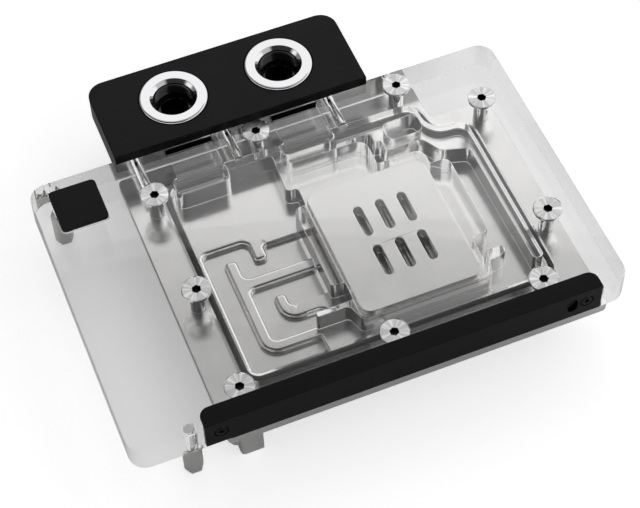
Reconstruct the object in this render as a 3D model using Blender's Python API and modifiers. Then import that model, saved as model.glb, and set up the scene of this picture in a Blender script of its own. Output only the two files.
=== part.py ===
"""Graphics card water block: clear cover, nickel cold plate, black terminal and light bar.

Plan sizes are measured from the front left corner of the clear cover, with
u to the right and v to the back. Heights are measured from the surface that
the feet stand on. The finished model has its origin under its middle.
"""

import math

import bmesh
import bpy
from mathutils import Matrix

MM = 0.001

# Gaps between touching pieces
SEAT = 0.3 * MM
CLEAR = 0.3 * MM

# How far a cutter runs past the face it opens, and the step of the plan's drawing grid
PAST = 1.0 * MM
GRID = 1.0 * MM

# Clear cover
COVER_T = 9.3 * MM
COVER_R = 5.2 * MM
COVER_EDGE = 0.4 * MM
FEET_H = 13.5 * MM

# Plan chain from left to right: overhang, rim, left ways, jet plate, right ways, rim, overhang
PLATE_LEFT = 27.4 * MM
LEFT_RIM = 11.4 * MM
LEFT_WAYS = 36.5 * MM
JET_W = 39.5 * MM
RIGHT_WAYS = 19.1 * MM
RIGHT_RIM = 9.8 * MM
RIGHT_OVERHANG = 6.3 * MM

# Plan chain from front to back: rim, front ways, jet plate, back ways, rim
FRONT_RIM = 13.8 * MM
FRONT_WAYS = 5.9 * MM
JET_D = 48.0 * MM
BACK_WAYS = 20.1 * MM
BACK_RIM = 9.4 * MM

# Cold plate
PLATE_T = 3.0 * MM
PLATE_BACK_IN = 0.4 * MM
PLATE_R = 1.5 * MM
NOTCH_IN = 2.4 * MM
NOTCH_DEEP = 5.3 * MM
NOTCH_R = 2.5 * MM

# Cover screws, an M4 countersunk pattern
SCREW_D = 4.0 * MM
HEAD_D = 8.3 * MM
HEAD_RIM = 0.3 * MM
SCREW_L = 12.4 * MM
SCREW_TIP = 0.5 * MM
SOCKET_AF = 2.5 * MM
SOCKET_DEPTH = 1.6 * MM
# Main gasket and its groove
CORD_D = 2.0 * MM
GROOVE_W = 2.3 * MM
GROOVE_DEPTH = 2.0 * MM
SEAL_R = 4.5 * MM
SEAL_S_R = 6.0 * MM
SEAL_WALL = 1.0 * MM

# Water ways milled in the underside of the cover
SHALLOW = 1.9 * MM
RELIEF = 0.35 * MM
DEEP = 6.5 * MM
PORT_DEEP = 7.1 * MM
WAY_LEFT_IN = 2.7 * MM
WAY_FRONT_IN = 2.1 * MM

# Jet plate over the fins
JET_R = 4.5 * MM
JET_UP = 4.8 * MM
JET_RIM = 0.9 * MM
JET_STEP = 1.4 * MM
SLOT_W = 2.6 * MM
SLOT_L = 11.0 * MM
SLOT_PITCH_U = 7.0 * MM
SLOT_PITCH_V = 15.0 * MM

# Fins milled in the cold plate
FIN_PITCH = 1.5 * MM
FIN_GAP = 0.8 * MM
FIN_DEPTH = 2.0 * MM
FIN_W = 33.0 * MM
FIN_L = 34.0 * MM

# Terminal block with the two ports
TERM_IN = 0.1 * MM
TERM_W = 81.0 * MM
TERM_D = 29.8 * MM
TERM_LIP = 1.7 * MM
TERM_TOP = 3.7 * MM
TERM_H = 11.5 * MM
TERM_R = 5.4 * MM
TERM_EDGE = 0.35 * MM
TERM_CHAMFER = 2.6 * MM
PORT_IN = 23.9 * MM
PORT_PITCH = 34.2 * MM
PORT_FROM_BACK = 14.4 * MM
PORT_D = 12.7 * MM
PORT_DEPTH = 5.6 * MM
PORT_HOLE_D = 8.4 * MM
PORT_SUMP = 0.8 * MM
RING_OD = 21.0 * MM
RING_ID = 13.1 * MM
RING_T = 1.6 * MM
RING_PROUD = 0.5 * MM
RING_EDGE = 0.5 * MM

# Side channel from each port through the joint into the cover
TUNNEL_W = 15.0 * MM
TUNNEL_H = 2.6 * MM
TUNNEL_DOWN = 3.7 * MM
TUNNEL_IN = 0.7 * MM
TUNNEL_MOUTH = 2.5 * MM
TUNNEL_TAPER = 5.0 * MM
POCKET_IN = 0.9 * MM
POCKET_W = 17.0 * MM
POCKET_D = 5.0 * MM
POCKET_FROM_SEAL = 1.8 * MM
POCKET_R = 2.2 * MM
SIDE_CORD = 1.2 * MM
SIDE_GAP = 0.2 * MM
SIDE_SEAL_OUT = 1.3 * MM

# Terminal screws along the cover's depth
BORE_IN_LEFT = 6.6 * MM
BORE_IN_MIDDLE = 35.8 * MM
BORE_IN_RIGHT = 11.6 * MM
BORE_D = 3.0 * MM
BORE_L = 10.4 * MM
TSCREW_IN = 3.6 * MM
TSCREW_HEAD_D = 4.8 * MM
TSCREW_HEAD_H = 3.0 * MM
TSCREW_SOCKET = 2.0 * MM
TSCREW_SOCKET_L = 1.6 * MM
TSCREW_ROOM = 0.25 * MM

# Light bar along the front edge
BAR_LEFT = 21.0 * MM
BAR_RIGHT_IN = 9.0 * MM
BAR_D = 6.0 * MM
BAR_TOP = 1.0 * MM
BAR_TOP_T = 0.7 * MM
BAR_FACE_T = 1.5 * MM
BAR_R = 4.0 * MM
BAR_SCREW_IN = 4.7 * MM
BAR_SCREW_DOWN = 4.1 * MM
BAR_SCREW_D = 2.0 * MM
BAR_SCREW_HEAD = 3.6 * MM
BAR_SCREW_L = 6.0 * MM
BAR_SOCKET = 1.3 * MM
BAR_SOCKET_L = 0.8 * MM
CABLE_SLOT_IN = 9.2 * MM
CABLE_SLOT_W = 3.0 * MM
CABLE_SLOT_H = 5.4 * MM
STRIP_ROOM = 2.0 * MM
STRIP_ROOM_R = 0.6 * MM
STRIP_END = 7.6 * MM
STRIP_H = 7.0 * MM
STRIP_T = 0.8 * MM
LED_PITCH = 16.0 * MM
LED_W = 3.4 * MM
LED_H = 2.8 * MM
LED_T = 0.5 * MM

# Badge on the back left corner
BADGE_FROM_LEFT = 12.65 * MM
BADGE_FROM_BACK = 11.75 * MM
BADGE_W = 14.4 * MM
BADGE_D = 15.2 * MM
BADGE_R = 1.4 * MM
BADGE_T = 1.1 * MM
BADGE_SUNK = 0.5 * MM

# Hex standoffs under the part of the cover that overhangs
STAND_AF = 5.0 * MM
STAND_FRONT = (17.4 * MM, 3.3 * MM)
STAND_BACK_LEFT = 7.6 * MM
STAND_FROM_BACK = 4.6 * MM
STAND_CHAMFER = 0.45 * MM
STUD_D = 3.0 * MM
STUD_L = 7.2 * MM
STAND_TAP_D = 2.5 * MM
STAND_TAP_L = 6.0 * MM

# Lands and posts under the cold plate
CORE_W = 30.0 * MM
CORE_D = 28.0 * MM
CORE_UP = 2.6 * MM
LAND_UP = 3.0 * MM
LAND_R = 1.5 * MM
BLOCK_W = 6.8 * MM
BLOCK_D = 4.5 * MM
BLOCK_IN = 3.6 * MM
BLOCK_FRONT = 1.1 * MM
NUB_D = 4.0 * MM
NUB_UP = 2.0 * MM
POST_D = 5.6 * MM
POST_HOLE_D = 2.5 * MM
POST_HOLE_L = 5.0 * MM
MEMORY_W = 10.0 * MM
MEMORY_L = 32.0 * MM
POWER_W = 10.0 * MM
POWER_L = 56.0 * MM

# Lines of the plan that follow from the two chains
SEAL_LEFT = PLATE_LEFT + LEFT_RIM
JET_LEFT = SEAL_LEFT + LEFT_WAYS
JET_RIGHT = JET_LEFT + JET_W
SEAL_RIGHT = JET_RIGHT + RIGHT_WAYS
PLATE_RIGHT = SEAL_RIGHT + RIGHT_RIM
COVER_W = PLATE_RIGHT + RIGHT_OVERHANG
SEAL_FRONT = FRONT_RIM
JET_FRONT = SEAL_FRONT + FRONT_WAYS
JET_BACK = JET_FRONT + JET_D
SEAL_BACK = JET_BACK + BACK_WAYS
COVER_D = SEAL_BACK + BACK_RIM
JET_U = (JET_LEFT + JET_RIGHT) / 2
JET_V = (JET_FRONT + JET_BACK) / 2
SEAL_S_U = SEAL_RIGHT - 2 * SEAL_S_R
NOTCH_U = SEAL_S_U + NOTCH_IN
NOTCH_V = SEAL_BACK - NOTCH_DEEP
WAY_LEFT = SEAL_LEFT + WAY_LEFT_IN
WAY_FRONT = SEAL_FRONT + WAY_FRONT_IN
TERM_LEFT = PLATE_LEFT + TERM_IN
TERM_RIGHT = TERM_LEFT + TERM_W
PORT_U = (TERM_LEFT + PORT_IN, TERM_LEFT + PORT_IN + PORT_PITCH)
TUNNEL_U = tuple(u - TUNNEL_IN for u in PORT_U)
POCKET_U = tuple(u - POCKET_IN for u in TUNNEL_U)
POCKET_BACK = SEAL_BACK - POCKET_FROM_SEAL
POCKET_FRONT = POCKET_BACK - POCKET_D
BORE_U = (TERM_LEFT + BORE_IN_LEFT, TERM_LEFT + BORE_IN_MIDDLE, TERM_RIGHT - BORE_IN_RIGHT)
BAR_RIGHT = COVER_W - BAR_RIGHT_IN
CABLE_SLOT_U = BAR_RIGHT - CABLE_SLOT_IN
BADGE_U = BADGE_FROM_LEFT
BADGE_V = COVER_D - BADGE_FROM_BACK
STAND_SPOTS = {"front": STAND_FRONT, "back": (STAND_BACK_LEFT, COVER_D - STAND_FROM_BACK)}
SCREW_LEFT = PLATE_LEFT + 7.2 * GRID
SCREW_RIGHT = SEAL_RIGHT + 5.0 * GRID
SCREW_FRONT = SEAL_FRONT - 4.5 * GRID
SCREW_BACK = SEAL_BACK + 4.2 * GRID
SCREW_SPOTS = {
    "front_left": (SCREW_LEFT, SCREW_FRONT),
    "left": (SCREW_LEFT, JET_V + 0.6 * GRID),
    "back_left": (SCREW_LEFT, SEAL_BACK - 6.9 * GRID),
    "front": ((SCREW_LEFT + SEAL_RIGHT) / 2 - 3.5 * GRID, SCREW_FRONT),
    "front_right": (SEAL_RIGHT - 7.0 * GRID, SCREW_FRONT),
    "back": (JET_LEFT - 4.5 * GRID, SCREW_BACK),
    "back_middle": (JET_RIGHT + 2.1 * GRID, SCREW_BACK),
    "back_right": (SCREW_RIGHT, SEAL_BACK - 10.6 * GRID),
    "right": (SCREW_RIGHT, JET_FRONT + 11.6 * GRID),
}
BLOCK_LEFT = PLATE_LEFT + BLOCK_IN
NUB_SPOT = (BLOCK_LEFT, BLOCK_FRONT + BLOCK_D)
POST_SPOTS = (
    (SEAL_RIGHT - 0.4 * GRID, SCREW_FRONT + 2.7 * GRID),
    (SEAL_S_U - 3.4 * GRID, NOTCH_V - 2.5 * GRID),
    (WAY_LEFT + 8.5 * GRID, SEAL_BACK + 2.7 * GRID),
)

# Levels that follow from the sizes above
Z_UNDER = FEET_H
Z_TOP = FEET_H + COVER_T
PLATE_TOP = Z_UNDER - SEAT
PLATE_BOTTOM = PLATE_TOP - PLATE_T
LAND_TOP = PLATE_BOTTOM + PLATE_T / 6
JET_TOP = Z_UNDER + JET_UP - SEAT
JET_BOTTOM = PLATE_TOP + SEAT
TERM_Z1 = Z_TOP + TERM_TOP
TERM_Z0 = TERM_Z1 - TERM_H
TERM_FRONT = COVER_D - TERM_LIP
TERM_FACE = COVER_D + SEAT
TERM_BACK = TERM_FRONT + TERM_D
PORT_V = TERM_BACK - PORT_FROM_BACK
BORE_Z = Z_UNDER + COVER_T / 2
TUNNEL_Z = Z_TOP - TUNNEL_DOWN
BAR_Z0 = Z_UNDER
BAR_Z1 = Z_TOP + BAR_TOP
BAR_SCREW_Z = BAR_Z1 - BAR_SCREW_DOWN - BAR_TOP

# The origin of the finished model, under its middle
ORIGIN = (COVER_W / 2, TERM_BACK / 2, 0.0)

ARC_STEPS = 5
WELD = 0.000002
ROUND = 32
SMALL_ROUND = 16


def start():
    """Clear the scene and make one collection for the parts and one for the cutters."""
    for obj in list(bpy.data.objects):
        bpy.data.objects.remove(obj, do_unlink=True)
    parts = bpy.data.collections.new("graphics_card_water_block")
    cutters = bpy.data.collections.new("cutters")
    bpy.context.scene.collection.children.link(parts)
    bpy.context.scene.collection.children.link(cutters)
    return parts, cutters


PARTS, CUTTERS = start()


def material(name, colour, metallic, roughness, transmission=0.0):
    mat = bpy.data.materials.new(name)
    mat.use_nodes = True
    shader = mat.node_tree.nodes["Principled BSDF"]
    shader.inputs["Base Color"].default_value = (*colour, 1.0)
    shader.inputs["Metallic"].default_value = metallic
    shader.inputs["Roughness"].default_value = roughness
    shader.inputs["Transmission Weight"].default_value = transmission
    return mat


MATERIALS = {
    "acrylic": material("clear acrylic", (0.95, 0.95, 0.95), 0.0, 0.03, 1.0),
    "nickel": material("nickel plate", (0.78, 0.78, 0.77), 1.0, 0.12),
    "steel": material("turned steel", (0.75, 0.75, 0.75), 1.0, 0.2),
    "chrome": material("chrome", (0.85, 0.85, 0.85), 1.0, 0.05),
    "acetal": material("black acetal", (0.015, 0.015, 0.015), 0.0, 0.4),
    "anodised": material("black anodised aluminium", (0.01, 0.01, 0.01), 0.3, 0.45),
    "rubber": material("black rubber", (0.02, 0.02, 0.02), 0.0, 0.6),
    "board": material("white circuit board", (0.6, 0.6, 0.58), 0.0, 0.5),
}


def place(u, v, z):
    """A point of the plan in the finished model's frame."""
    return (u - ORIGIN[0], v - ORIGIN[1], z - ORIGIN[2])


def new_object(name, mesh, collection):
    obj = bpy.data.objects.new(name, mesh)
    collection.objects.link(obj)
    if collection is CUTTERS:
        obj.hide_render = True
        obj.display_type = "WIRE"
    return obj


def finish(obj, kind):
    """Give a part its material and smooth its round faces."""
    obj.data.materials.clear()
    obj.data.materials.append(MATERIALS[kind])
    return obj


def bake(obj, name, collection):
    """Turn an object with its modifiers or curve into a welded mesh object."""
    graph = bpy.context.evaluated_depsgraph_get()
    mesh = bpy.data.meshes.new_from_object(obj.evaluated_get(graph))
    bm = bmesh.new()
    bm.from_mesh(mesh)
    bmesh.ops.remove_doubles(bm, verts=bm.verts, dist=WELD)
    bmesh.ops.recalc_face_normals(bm, faces=bm.faces)
    bm.to_mesh(mesh)
    bm.free()
    mesh.transform(obj.matrix_world)
    bpy.data.objects.remove(obj, do_unlink=True)
    mesh.name = name
    return new_object(name, mesh, collection)


def rounded(corners, steps=ARC_STEPS):
    """A closed outline from corners (u, v, radius), each corner turned into an arc."""
    loop = []
    count = len(corners)
    for i, (u, v, radius) in enumerate(corners):
        if radius <= 0:
            loop.append((u, v))
            continue
        back = corners[i - 1]
        ahead = corners[(i + 1) % count]
        in_u, in_v = back[0] - u, back[1] - v
        out_u, out_v = ahead[0] - u, ahead[1] - v
        in_len = math.hypot(in_u, in_v)
        out_len = math.hypot(out_u, out_v)
        in_u, in_v = in_u / in_len, in_v / in_len
        out_u, out_v = out_u / out_len, out_v / out_len
        half = math.acos(max(-1.0, min(1.0, in_u * out_u + in_v * out_v))) / 2
        run = min(radius / math.tan(half), 0.499 * in_len, 0.499 * out_len)
        radius = run * math.tan(half)
        mid = math.hypot(in_u + out_u, in_v + out_v)
        reach = math.hypot(radius, run)
        cu = u + (in_u + out_u) / mid * reach
        cv = v + (in_v + out_v) / mid * reach
        a0 = math.atan2(v + in_v * run - cv, u + in_u * run - cu)
        a1 = math.atan2(v + out_v * run - cv, u + out_u * run - cu)
        sweep = (a1 - a0 + math.pi) % (2 * math.pi) - math.pi
        for k in range(steps + 1):
            angle = a0 + sweep * k / steps
            loop.append((cu + radius * math.cos(angle), cv + radius * math.sin(angle)))
    return loop


def box_loop(u0, v0, u1, v1, radius=0.0, steps=ARC_STEPS):
    return rounded([(u0, v0, radius), (u1, v0, radius), (u1, v1, radius), (u0, v1, radius)], steps)


def circle_loop(u, v, diameter, sides=ROUND):
    turn = 2 * math.pi / sides
    return [
        (u + diameter / 2 * math.cos(turn * k), v + diameter / 2 * math.sin(turn * k))
        for k in range(sides)
    ]


def offset(loop, distance):
    """Move a closed outline sideways; a positive distance moves it to the left of its run."""
    moved = []
    count = len(loop)
    for i, (u, v) in enumerate(loop):
        u0, v0 = loop[i - 1]
        u1, v1 = loop[(i + 1) % count]
        a_u, a_v = u - u0, v - v0
        b_u, b_v = u1 - u, v1 - v
        a = math.hypot(a_u, a_v)
        b = math.hypot(b_u, b_v)
        n_u = -a_v / a - b_v / b
        n_v = a_u / a + b_u / b
        n = math.hypot(n_u, n_v)
        slant = n / 2
        moved.append((u + n_u / n * distance / slant, v + n_v / n * distance / slant))
    return moved


def prism(name, loops, z0, z1, collection, edge=0.0):
    """A flat outline with holes, filled and extruded from z0 to z1."""
    curve = bpy.data.curves.new(name, "CURVE")
    curve.dimensions = "2D"
    curve.fill_mode = "BOTH"
    curve.extrude = (z1 - z0) / 2
    for loop in loops:
        spline = curve.splines.new("POLY")
        spline.points.add(len(loop) - 1)
        for point, (u, v) in zip(spline.points, loop):
            x, y, _ = place(u, v, 0.0)
            point.co = (x, y, 0.0, 1.0)
        spline.use_cyclic_u = True
    obj = new_object(name, curve, collection)
    obj.location.z = (z0 + z1) / 2
    bpy.context.view_layer.update()
    solid = bake(obj, name, collection)
    if edge > 0:
        bevel(solid, edge)
    return solid


def bevel(obj, width, segments=1, angle=50.0):
    mod = obj.modifiers.new("edge", "BEVEL")
    mod.width = width
    mod.segments = segments
    mod.limit_method = "ANGLE"
    mod.angle_limit = math.radians(angle)
    return mod


def turned(name, profile, u, v, z, collection, sides=ROUND):
    """A turned solid: the profile (radius, height) runs from its top to its bottom."""
    mesh = bpy.data.meshes.new(name)
    points = [(radius, 0.0, height) for radius, height in profile]
    edges = [(i, i + 1) for i in range(len(points) - 1)]
    if profile[0][0] > 0 and profile[-1][0] > 0:
        edges.append((len(points) - 1, 0))
    mesh.from_pydata(points, edges, [])
    obj = new_object(name, mesh, collection)
    obj.location = place(u, v, z)
    mod = obj.modifiers.new("turn", "SCREW")
    mod.axis = "Z"
    mod.steps = sides
    mod.render_steps = sides
    mod.use_merge_vertices = True
    mod.merge_threshold = 0.00001
    return obj


def cut(obj, cutter, operation="DIFFERENCE"):
    mod = obj.modifiers.new(operation.lower(), "BOOLEAN")
    mod.operation = operation
    mod.solver = "EXACT"
    mod.object = cutter
    return mod


def join(name, pieces):
    """Several cutters that stay clear of each other as one mesh."""
    bm = bmesh.new()
    for piece in pieces:
        graph = bpy.context.evaluated_depsgraph_get()
        mesh = bpy.data.meshes.new_from_object(piece.evaluated_get(graph))
        mesh.transform(piece.matrix_world)
        bm.from_mesh(mesh)
        bpy.data.meshes.remove(mesh)
        bpy.data.objects.remove(piece, do_unlink=True)
    bmesh.ops.remove_doubles(bm, verts=bm.verts, dist=WELD)
    bmesh.ops.recalc_face_normals(bm, faces=bm.faces)
    mesh = bpy.data.meshes.new(name)
    bm.to_mesh(mesh)
    bm.free()
    return new_object(name, mesh, CUTTERS)


def rod(name, u, v, z0, z1, diameter, collection=None, sides=SMALL_ROUND):
    return prism(name, [circle_loop(u, v, diameter, sides)], z0, z1, collection or CUTTERS)


def lying(name, solid, u, v, z, turn):
    """Bake a solid that was modelled upright at the plan's zero and lay it along the depth."""
    mesh_obj = bake(solid, name, solid.users_collection[0])
    mesh_obj.data.transform(Matrix.Translation([-c for c in place(0.0, 0.0, 0.0)]))
    mesh_obj.data.transform(Matrix.Rotation(turn, 4, "X"))
    mesh_obj.data.transform(Matrix.Translation(place(u, v, z)))
    mesh_obj.data.update()
    return mesh_obj


def seal_track():
    """The middle line of the main gasket, inside all the cover screws."""
    s_out = SEAL_S_U + SEAL_S_R
    s_back = SEAL_BACK - 2 * SEAL_S_R
    return [
        (SEAL_LEFT, SEAL_FRONT, SEAL_R),
        (SEAL_RIGHT, SEAL_FRONT, SEAL_R),
        (SEAL_RIGHT, s_back, SEAL_S_R),
        (s_out - SEAL_S_R, s_back, SEAL_S_R),
        (s_out - SEAL_S_R, SEAL_BACK, SEAL_S_R),
        (SEAL_LEFT, SEAL_BACK, SEAL_R),
    ]


def countersinks():
    """The clearance holes and countersinks of the cover screws."""
    sink_d = HEAD_D + 2 * CLEAR
    hole_d = SCREW_D + 2 * CLEAR
    cone = (sink_d - hole_d) / 2
    over = PAST
    profile = [
        (0.0, over),
        (sink_d / 2, over),
        (sink_d / 2, -HEAD_RIM - CLEAR),
        (hole_d / 2, -HEAD_RIM - CLEAR - cone),
        (hole_d / 2, -COVER_T - over),
        (0.0, -COVER_T - over),
    ]
    holes = []
    for spot, (u, v) in SCREW_SPOTS.items():
        holes.append(turned("sink_" + spot, profile, u, v, Z_TOP, CUTTERS, 20))
    bpy.context.view_layer.update()
    return join("countersinks", holes)


def shallow_ways():
    """The shallow channels at the left: an F-shaped slot, a hooked slot and the back field."""
    m = GRID
    jet = JET_LEFT
    mid = JET_V
    field_back = POCKET_FRONT + 0.7 * m
    f_slot = rounded([
        (jet - 28.9 * m, mid + 12.2 * m, 1.4 * m),
        (jet - 24.9 * m, mid + 12.2 * m, 1.4 * m),
        (jet - 24.9 * m, mid + 4.7 * m, 2.0 * m),
        (jet - 3.0 * m, mid + 4.7 * m, 0),
        (jet - 3.0 * m, mid + 0.4 * m, 0),
        (jet - 24.9 * m, mid + 0.4 * m, 1.6 * m),
        (jet - 24.9 * m, mid - 18.4 * m, 1.8 * m),
        (jet - 11.0 * m, mid - 18.4 * m, 0),
        (jet - 11.0 * m, mid - 22.6 * m, 0),
        (jet - 28.9 * m, mid - 22.6 * m, 5.5 * m),
    ])
    hook = rounded([
        (jet - 6.8 * m, JET_FRONT + 5.0 * m, 0),
        (jet + 0.4 * m, JET_FRONT + 5.0 * m, 0),
        (jet + 0.4 * m, mid - 9.1 * m, 0),
        (jet - 15.8 * m, mid - 9.1 * m, 2.0 * m),
        (jet - 15.8 * m, mid - 4.1 * m, 1.4 * m),
        (jet - 19.6 * m, mid - 4.1 * m, 1.4 * m),
        (jet - 19.6 * m, mid - 13.5 * m, 5.2 * m),
        (jet - 6.8 * m, mid - 13.5 * m, 2.2 * m),
    ])
    field = rounded([
        (WAY_LEFT, mid + 17.3 * m, 1.6 * m),
        (jet - 19.9 * m, mid + 17.3 * m, 2.2 * m),
        (jet - 19.9 * m, mid + 9.5 * m, 1.4 * m),
        (jet - 15.7 * m, mid + 9.5 * m, 1.4 * m),
        (jet - 15.7 * m, mid + 14.4 * m, 1.4 * m),
        (jet + 0.4 * m, mid + 14.4 * m, 0),
        (jet + 0.4 * m, field_back, 0),
        (WAY_LEFT, field_back, 0),
    ])
    return prism("shallow_left", [f_slot, hook, field], Z_UNDER - PAST, Z_UNDER + SHALLOW, CUTTERS)


def land_relief():
    """The thin relief between the shallow channels, which clears the flat land from the plate."""
    m = GRID
    jet = JET_LEFT
    mid = JET_V
    left = WAY_LEFT + 0.15 * m
    land = rounded([
        (left, WAY_FRONT, 2.5 * m),
        (jet - 6.3 * m, WAY_FRONT, 1.0 * m),
        (jet - 6.3 * m, mid - 13.0 * m, 2.7 * m),
        (jet - 19.1 * m, mid - 13.0 * m, 4.7 * m),
        (jet - 19.1 * m, mid - 4.6 * m, 0.9 * m),
        (jet - 16.3 * m, mid - 4.6 * m, 0.9 * m),
        (jet - 16.3 * m, mid - 9.6 * m, 2.5 * m),
        (jet - 3.5 * m, mid - 9.6 * m, 0),
        (jet - 3.5 * m, mid + 14.9 * m, 0),
        (jet - 16.2 * m, mid + 14.9 * m, 0.9 * m),
        (jet - 16.2 * m, mid + 10.0 * m, 0.9 * m),
        (jet - 19.4 * m, mid + 10.0 * m, 0.9 * m),
        (jet - 19.4 * m, mid + 17.8 * m, 2.7 * m),
        (left, mid + 17.8 * m, 1.0 * m),
    ])
    return prism("land_relief", [land], Z_UNDER - PAST, Z_UNDER + RELIEF, CUTTERS)


def shallow_feeds():
    """The two shallow slots that feed the bay at the right of the jet plate."""
    m = GRID
    jet = JET_RIGHT
    mid = JET_V
    slots = []
    for low, high in ((0.2, 4.7), (9.7, 14.2)):
        slots.append(rounded([
            (jet + 5.6 * m, mid + low * m, 0),
            (jet + 8.6 * m, mid + low * m, 1.4 * m),
            (jet + 8.6 * m, mid + high * m, 1.4 * m),
            (jet + 5.6 * m, mid + high * m, 0),
        ]))
    return prism("shallow_right", slots, Z_UNDER - PAST, Z_UNDER + SHALLOW, CUTTERS)


def deep_ways():
    """The deep pocket around the jet plate, with its bays and plenums."""
    m = GRID
    left = JET_LEFT - CLEAR
    right = JET_RIGHT + CLEAR
    front = JET_FRONT - CLEAR
    back = JET_BACK + CLEAR
    corner = JET_R + CLEAR
    bay_back = SEAL_BACK - 9.6 * m
    low = JET_V - 11.8 * m
    high = JET_V + 18.2 * m
    skew = 0.2 * m
    outline = rounded([
        (left - 11.6 * m, JET_FRONT + 1.5 * m, 0.6 * m),
        (left - 3.4 * m, JET_FRONT + 1.5 * m, 1.8 * m),
        (left - 0.8 * m, WAY_FRONT, 1.8 * m),
        (right + 7.4 * m, WAY_FRONT, 2.0 * m),
        (right + 7.4 * m, JET_FRONT + 6.8 * m, 1.5 * m),
        (right + 1.4 * m, JET_FRONT + 6.8 * m, 2.6 * m),
        (right - 1.0 * m, front, 2.0 * m),
        (right - 1.2 * m, front, 0),
        (right - 1.2 * m, front + 1.2 * m, 0),
        (right, front + corner, 0),
        (right, low + skew, 0.6 * m),
        (right + 5.9 * m, low + skew, 2.5 * m),
        (right + 5.9 * m, high + skew, 2.5 * m),
        (right, high + skew, 0.6 * m),
        (right, back, corner),
        (left + 25.5 * m, back, 0),
        (left + 25.5 * m, bay_back, 3.5 * m),
        (left + 1.4 * m, bay_back, 1.0 * m),
        (left + 1.4 * m, POCKET_BACK, 1.0 * m),
        (left - 17.0 * m, POCKET_BACK, 0),
        (left - 17.0 * m, POCKET_BACK - 3.0 * m, 0),
        (left - 2.6 * m, POCKET_BACK - 3.0 * m, 1.0 * m),
        (left - 3.6 * m, back + 0.6 * m, 3.0 * m),
        (left, back + 0.6 * m, 1.0 * m),
        (left, high, 0.6 * m),
        (left - 4.0 * m, high, 2.5 * m),
        (left - 4.0 * m, low, 1.2 * m),
        (left, low, 0.6 * m),
        (left, JET_FRONT + 6.3 * m, 1.0 * m),
        (left - 0.6 * m, JET_FRONT + 5.7 * m, 0.4 * m),
        (left - 11.6 * m, JET_FRONT + 5.7 * m, 0.6 * m),
    ])
    return prism("deep_middle", [outline], Z_UNDER - PAST, Z_UNDER + DEEP, CUTTERS)


def return_way():
    """The deep way from the right port round the back right corner and down the right side."""
    m = GRID
    inner = GROOVE_W / 2 + SEAL_WALL
    right = SEAL_RIGHT - inner
    top = SEAL_BACK - inner
    low = SEAL_BACK - 2 * SEAL_S_R - inner
    jet = JET_RIGHT
    back = JET_BACK
    outline = rounded([
        (jet + 12.6 * m, JET_FRONT - 1.5 * m, 1.5 * m),
        (right, JET_FRONT - 1.5 * m, 1.5 * m),
        (right, low, SEAL_S_R - inner),
        (SEAL_S_U - inner, low, SEAL_S_R + inner),
        (SEAL_S_U - inner, top, SEAL_S_R - inner),
        (jet - 22.8 * m, top, 0),
        (jet - 22.8 * m, back + 12.1 * m, 0),
        (jet - 12.2 * m, back + 12.1 * m, 4.0 * m),
        (jet - 12.2 * m, back + 7.9 * m, 0.6 * m),
        (jet - 10.2 * m, back + 7.9 * m, 0.6 * m),
        (jet - 10.2 * m, back + 3.7 * m, 1.0 * m),
        (jet + 1.6 * m, back + 3.7 * m, 3.0 * m),
        (jet + 5.2 * m, back - 2.5 * m, 3.0 * m),
        (jet + 12.6 * m, back - 5.1 * m, 2.0 * m),
    ])
    island = box_loop(jet - 7.5 * m, back + 6.9 * m, jet + 3.8 * m, back + 13.7 * m, 2.4 * m)
    return prism("deep_return", [outline, island], Z_UNDER - PAST, Z_UNDER + DEEP, CUTTERS)


def port_pockets():
    """The two deepest pockets, where the water drops from the side channels."""
    pockets = []
    for i, u in enumerate(POCKET_U):
        loop = box_loop(u - POCKET_W / 2, POCKET_FRONT, u + POCKET_W / 2, POCKET_BACK, POCKET_R)
        pockets.append(prism("pocket_%d" % i, [loop], Z_UNDER - PAST, Z_UNDER + PORT_DEEP, CUTTERS))
    return join("port_pockets", pockets)


def cover_channels():
    """The flat channels that bring the water from the joint to the two pockets."""
    half = TUNNEL_W / 2
    bars = []
    for i, u in enumerate(TUNNEL_U):
        loop = box_loop(u - half, POCKET_BACK - 0.5 * GRID, u + half, COVER_D + PAST)
        bar = prism("cover_channel_%d" % i, [loop], TUNNEL_Z - TUNNEL_H / 2, TUNNEL_Z + TUNNEL_H / 2, CUTTERS)
        bars.append(bar)
    return join("cover_channels", bars)


def terminal_channels():
    """Flat channels in the terminal, wide at the joint and as wide as the port hole inside."""
    half = TUNNEL_W / 2
    hole = PORT_HOLE_D / 2 * 0.96
    bars = []
    for i, (u, port) in enumerate(zip(TUNNEL_U, PORT_U)):
        deep = TERM_FACE + TUNNEL_MOUTH
        loop = [
            (u - half, TERM_FACE - PAST),
            (u + half, TERM_FACE - PAST),
            (u + half, deep),
            (port + hole, deep + TUNNEL_TAPER),
            (port + hole, PORT_V),
            (port - hole, PORT_V),
            (port - hole, deep + TUNNEL_TAPER),
            (u - half, deep),
        ]
        z0 = TUNNEL_Z - TUNNEL_H / 2
        bars.append(prism("terminal_channel_%d" % i, [loop], z0, z0 + TUNNEL_H, CUTTERS))
    return join("terminal_channels", bars)


def depth_rods(name, spots, diameter, v0, v1, z, collection=None, sides=SMALL_ROUND):
    """Round holes or rods that lie along the depth, one at each u."""
    rods = []
    for i, u in enumerate(spots):
        upright = prism("%s_%d" % (name, i), [circle_loop(0.0, 0.0, diameter, sides)], 0.0, v1 - v0, CUTTERS)
        rods.append(lying("%s_%d" % (name, i), upright, u, v0, z, -math.pi / 2))
    return join(name, rods)


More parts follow.
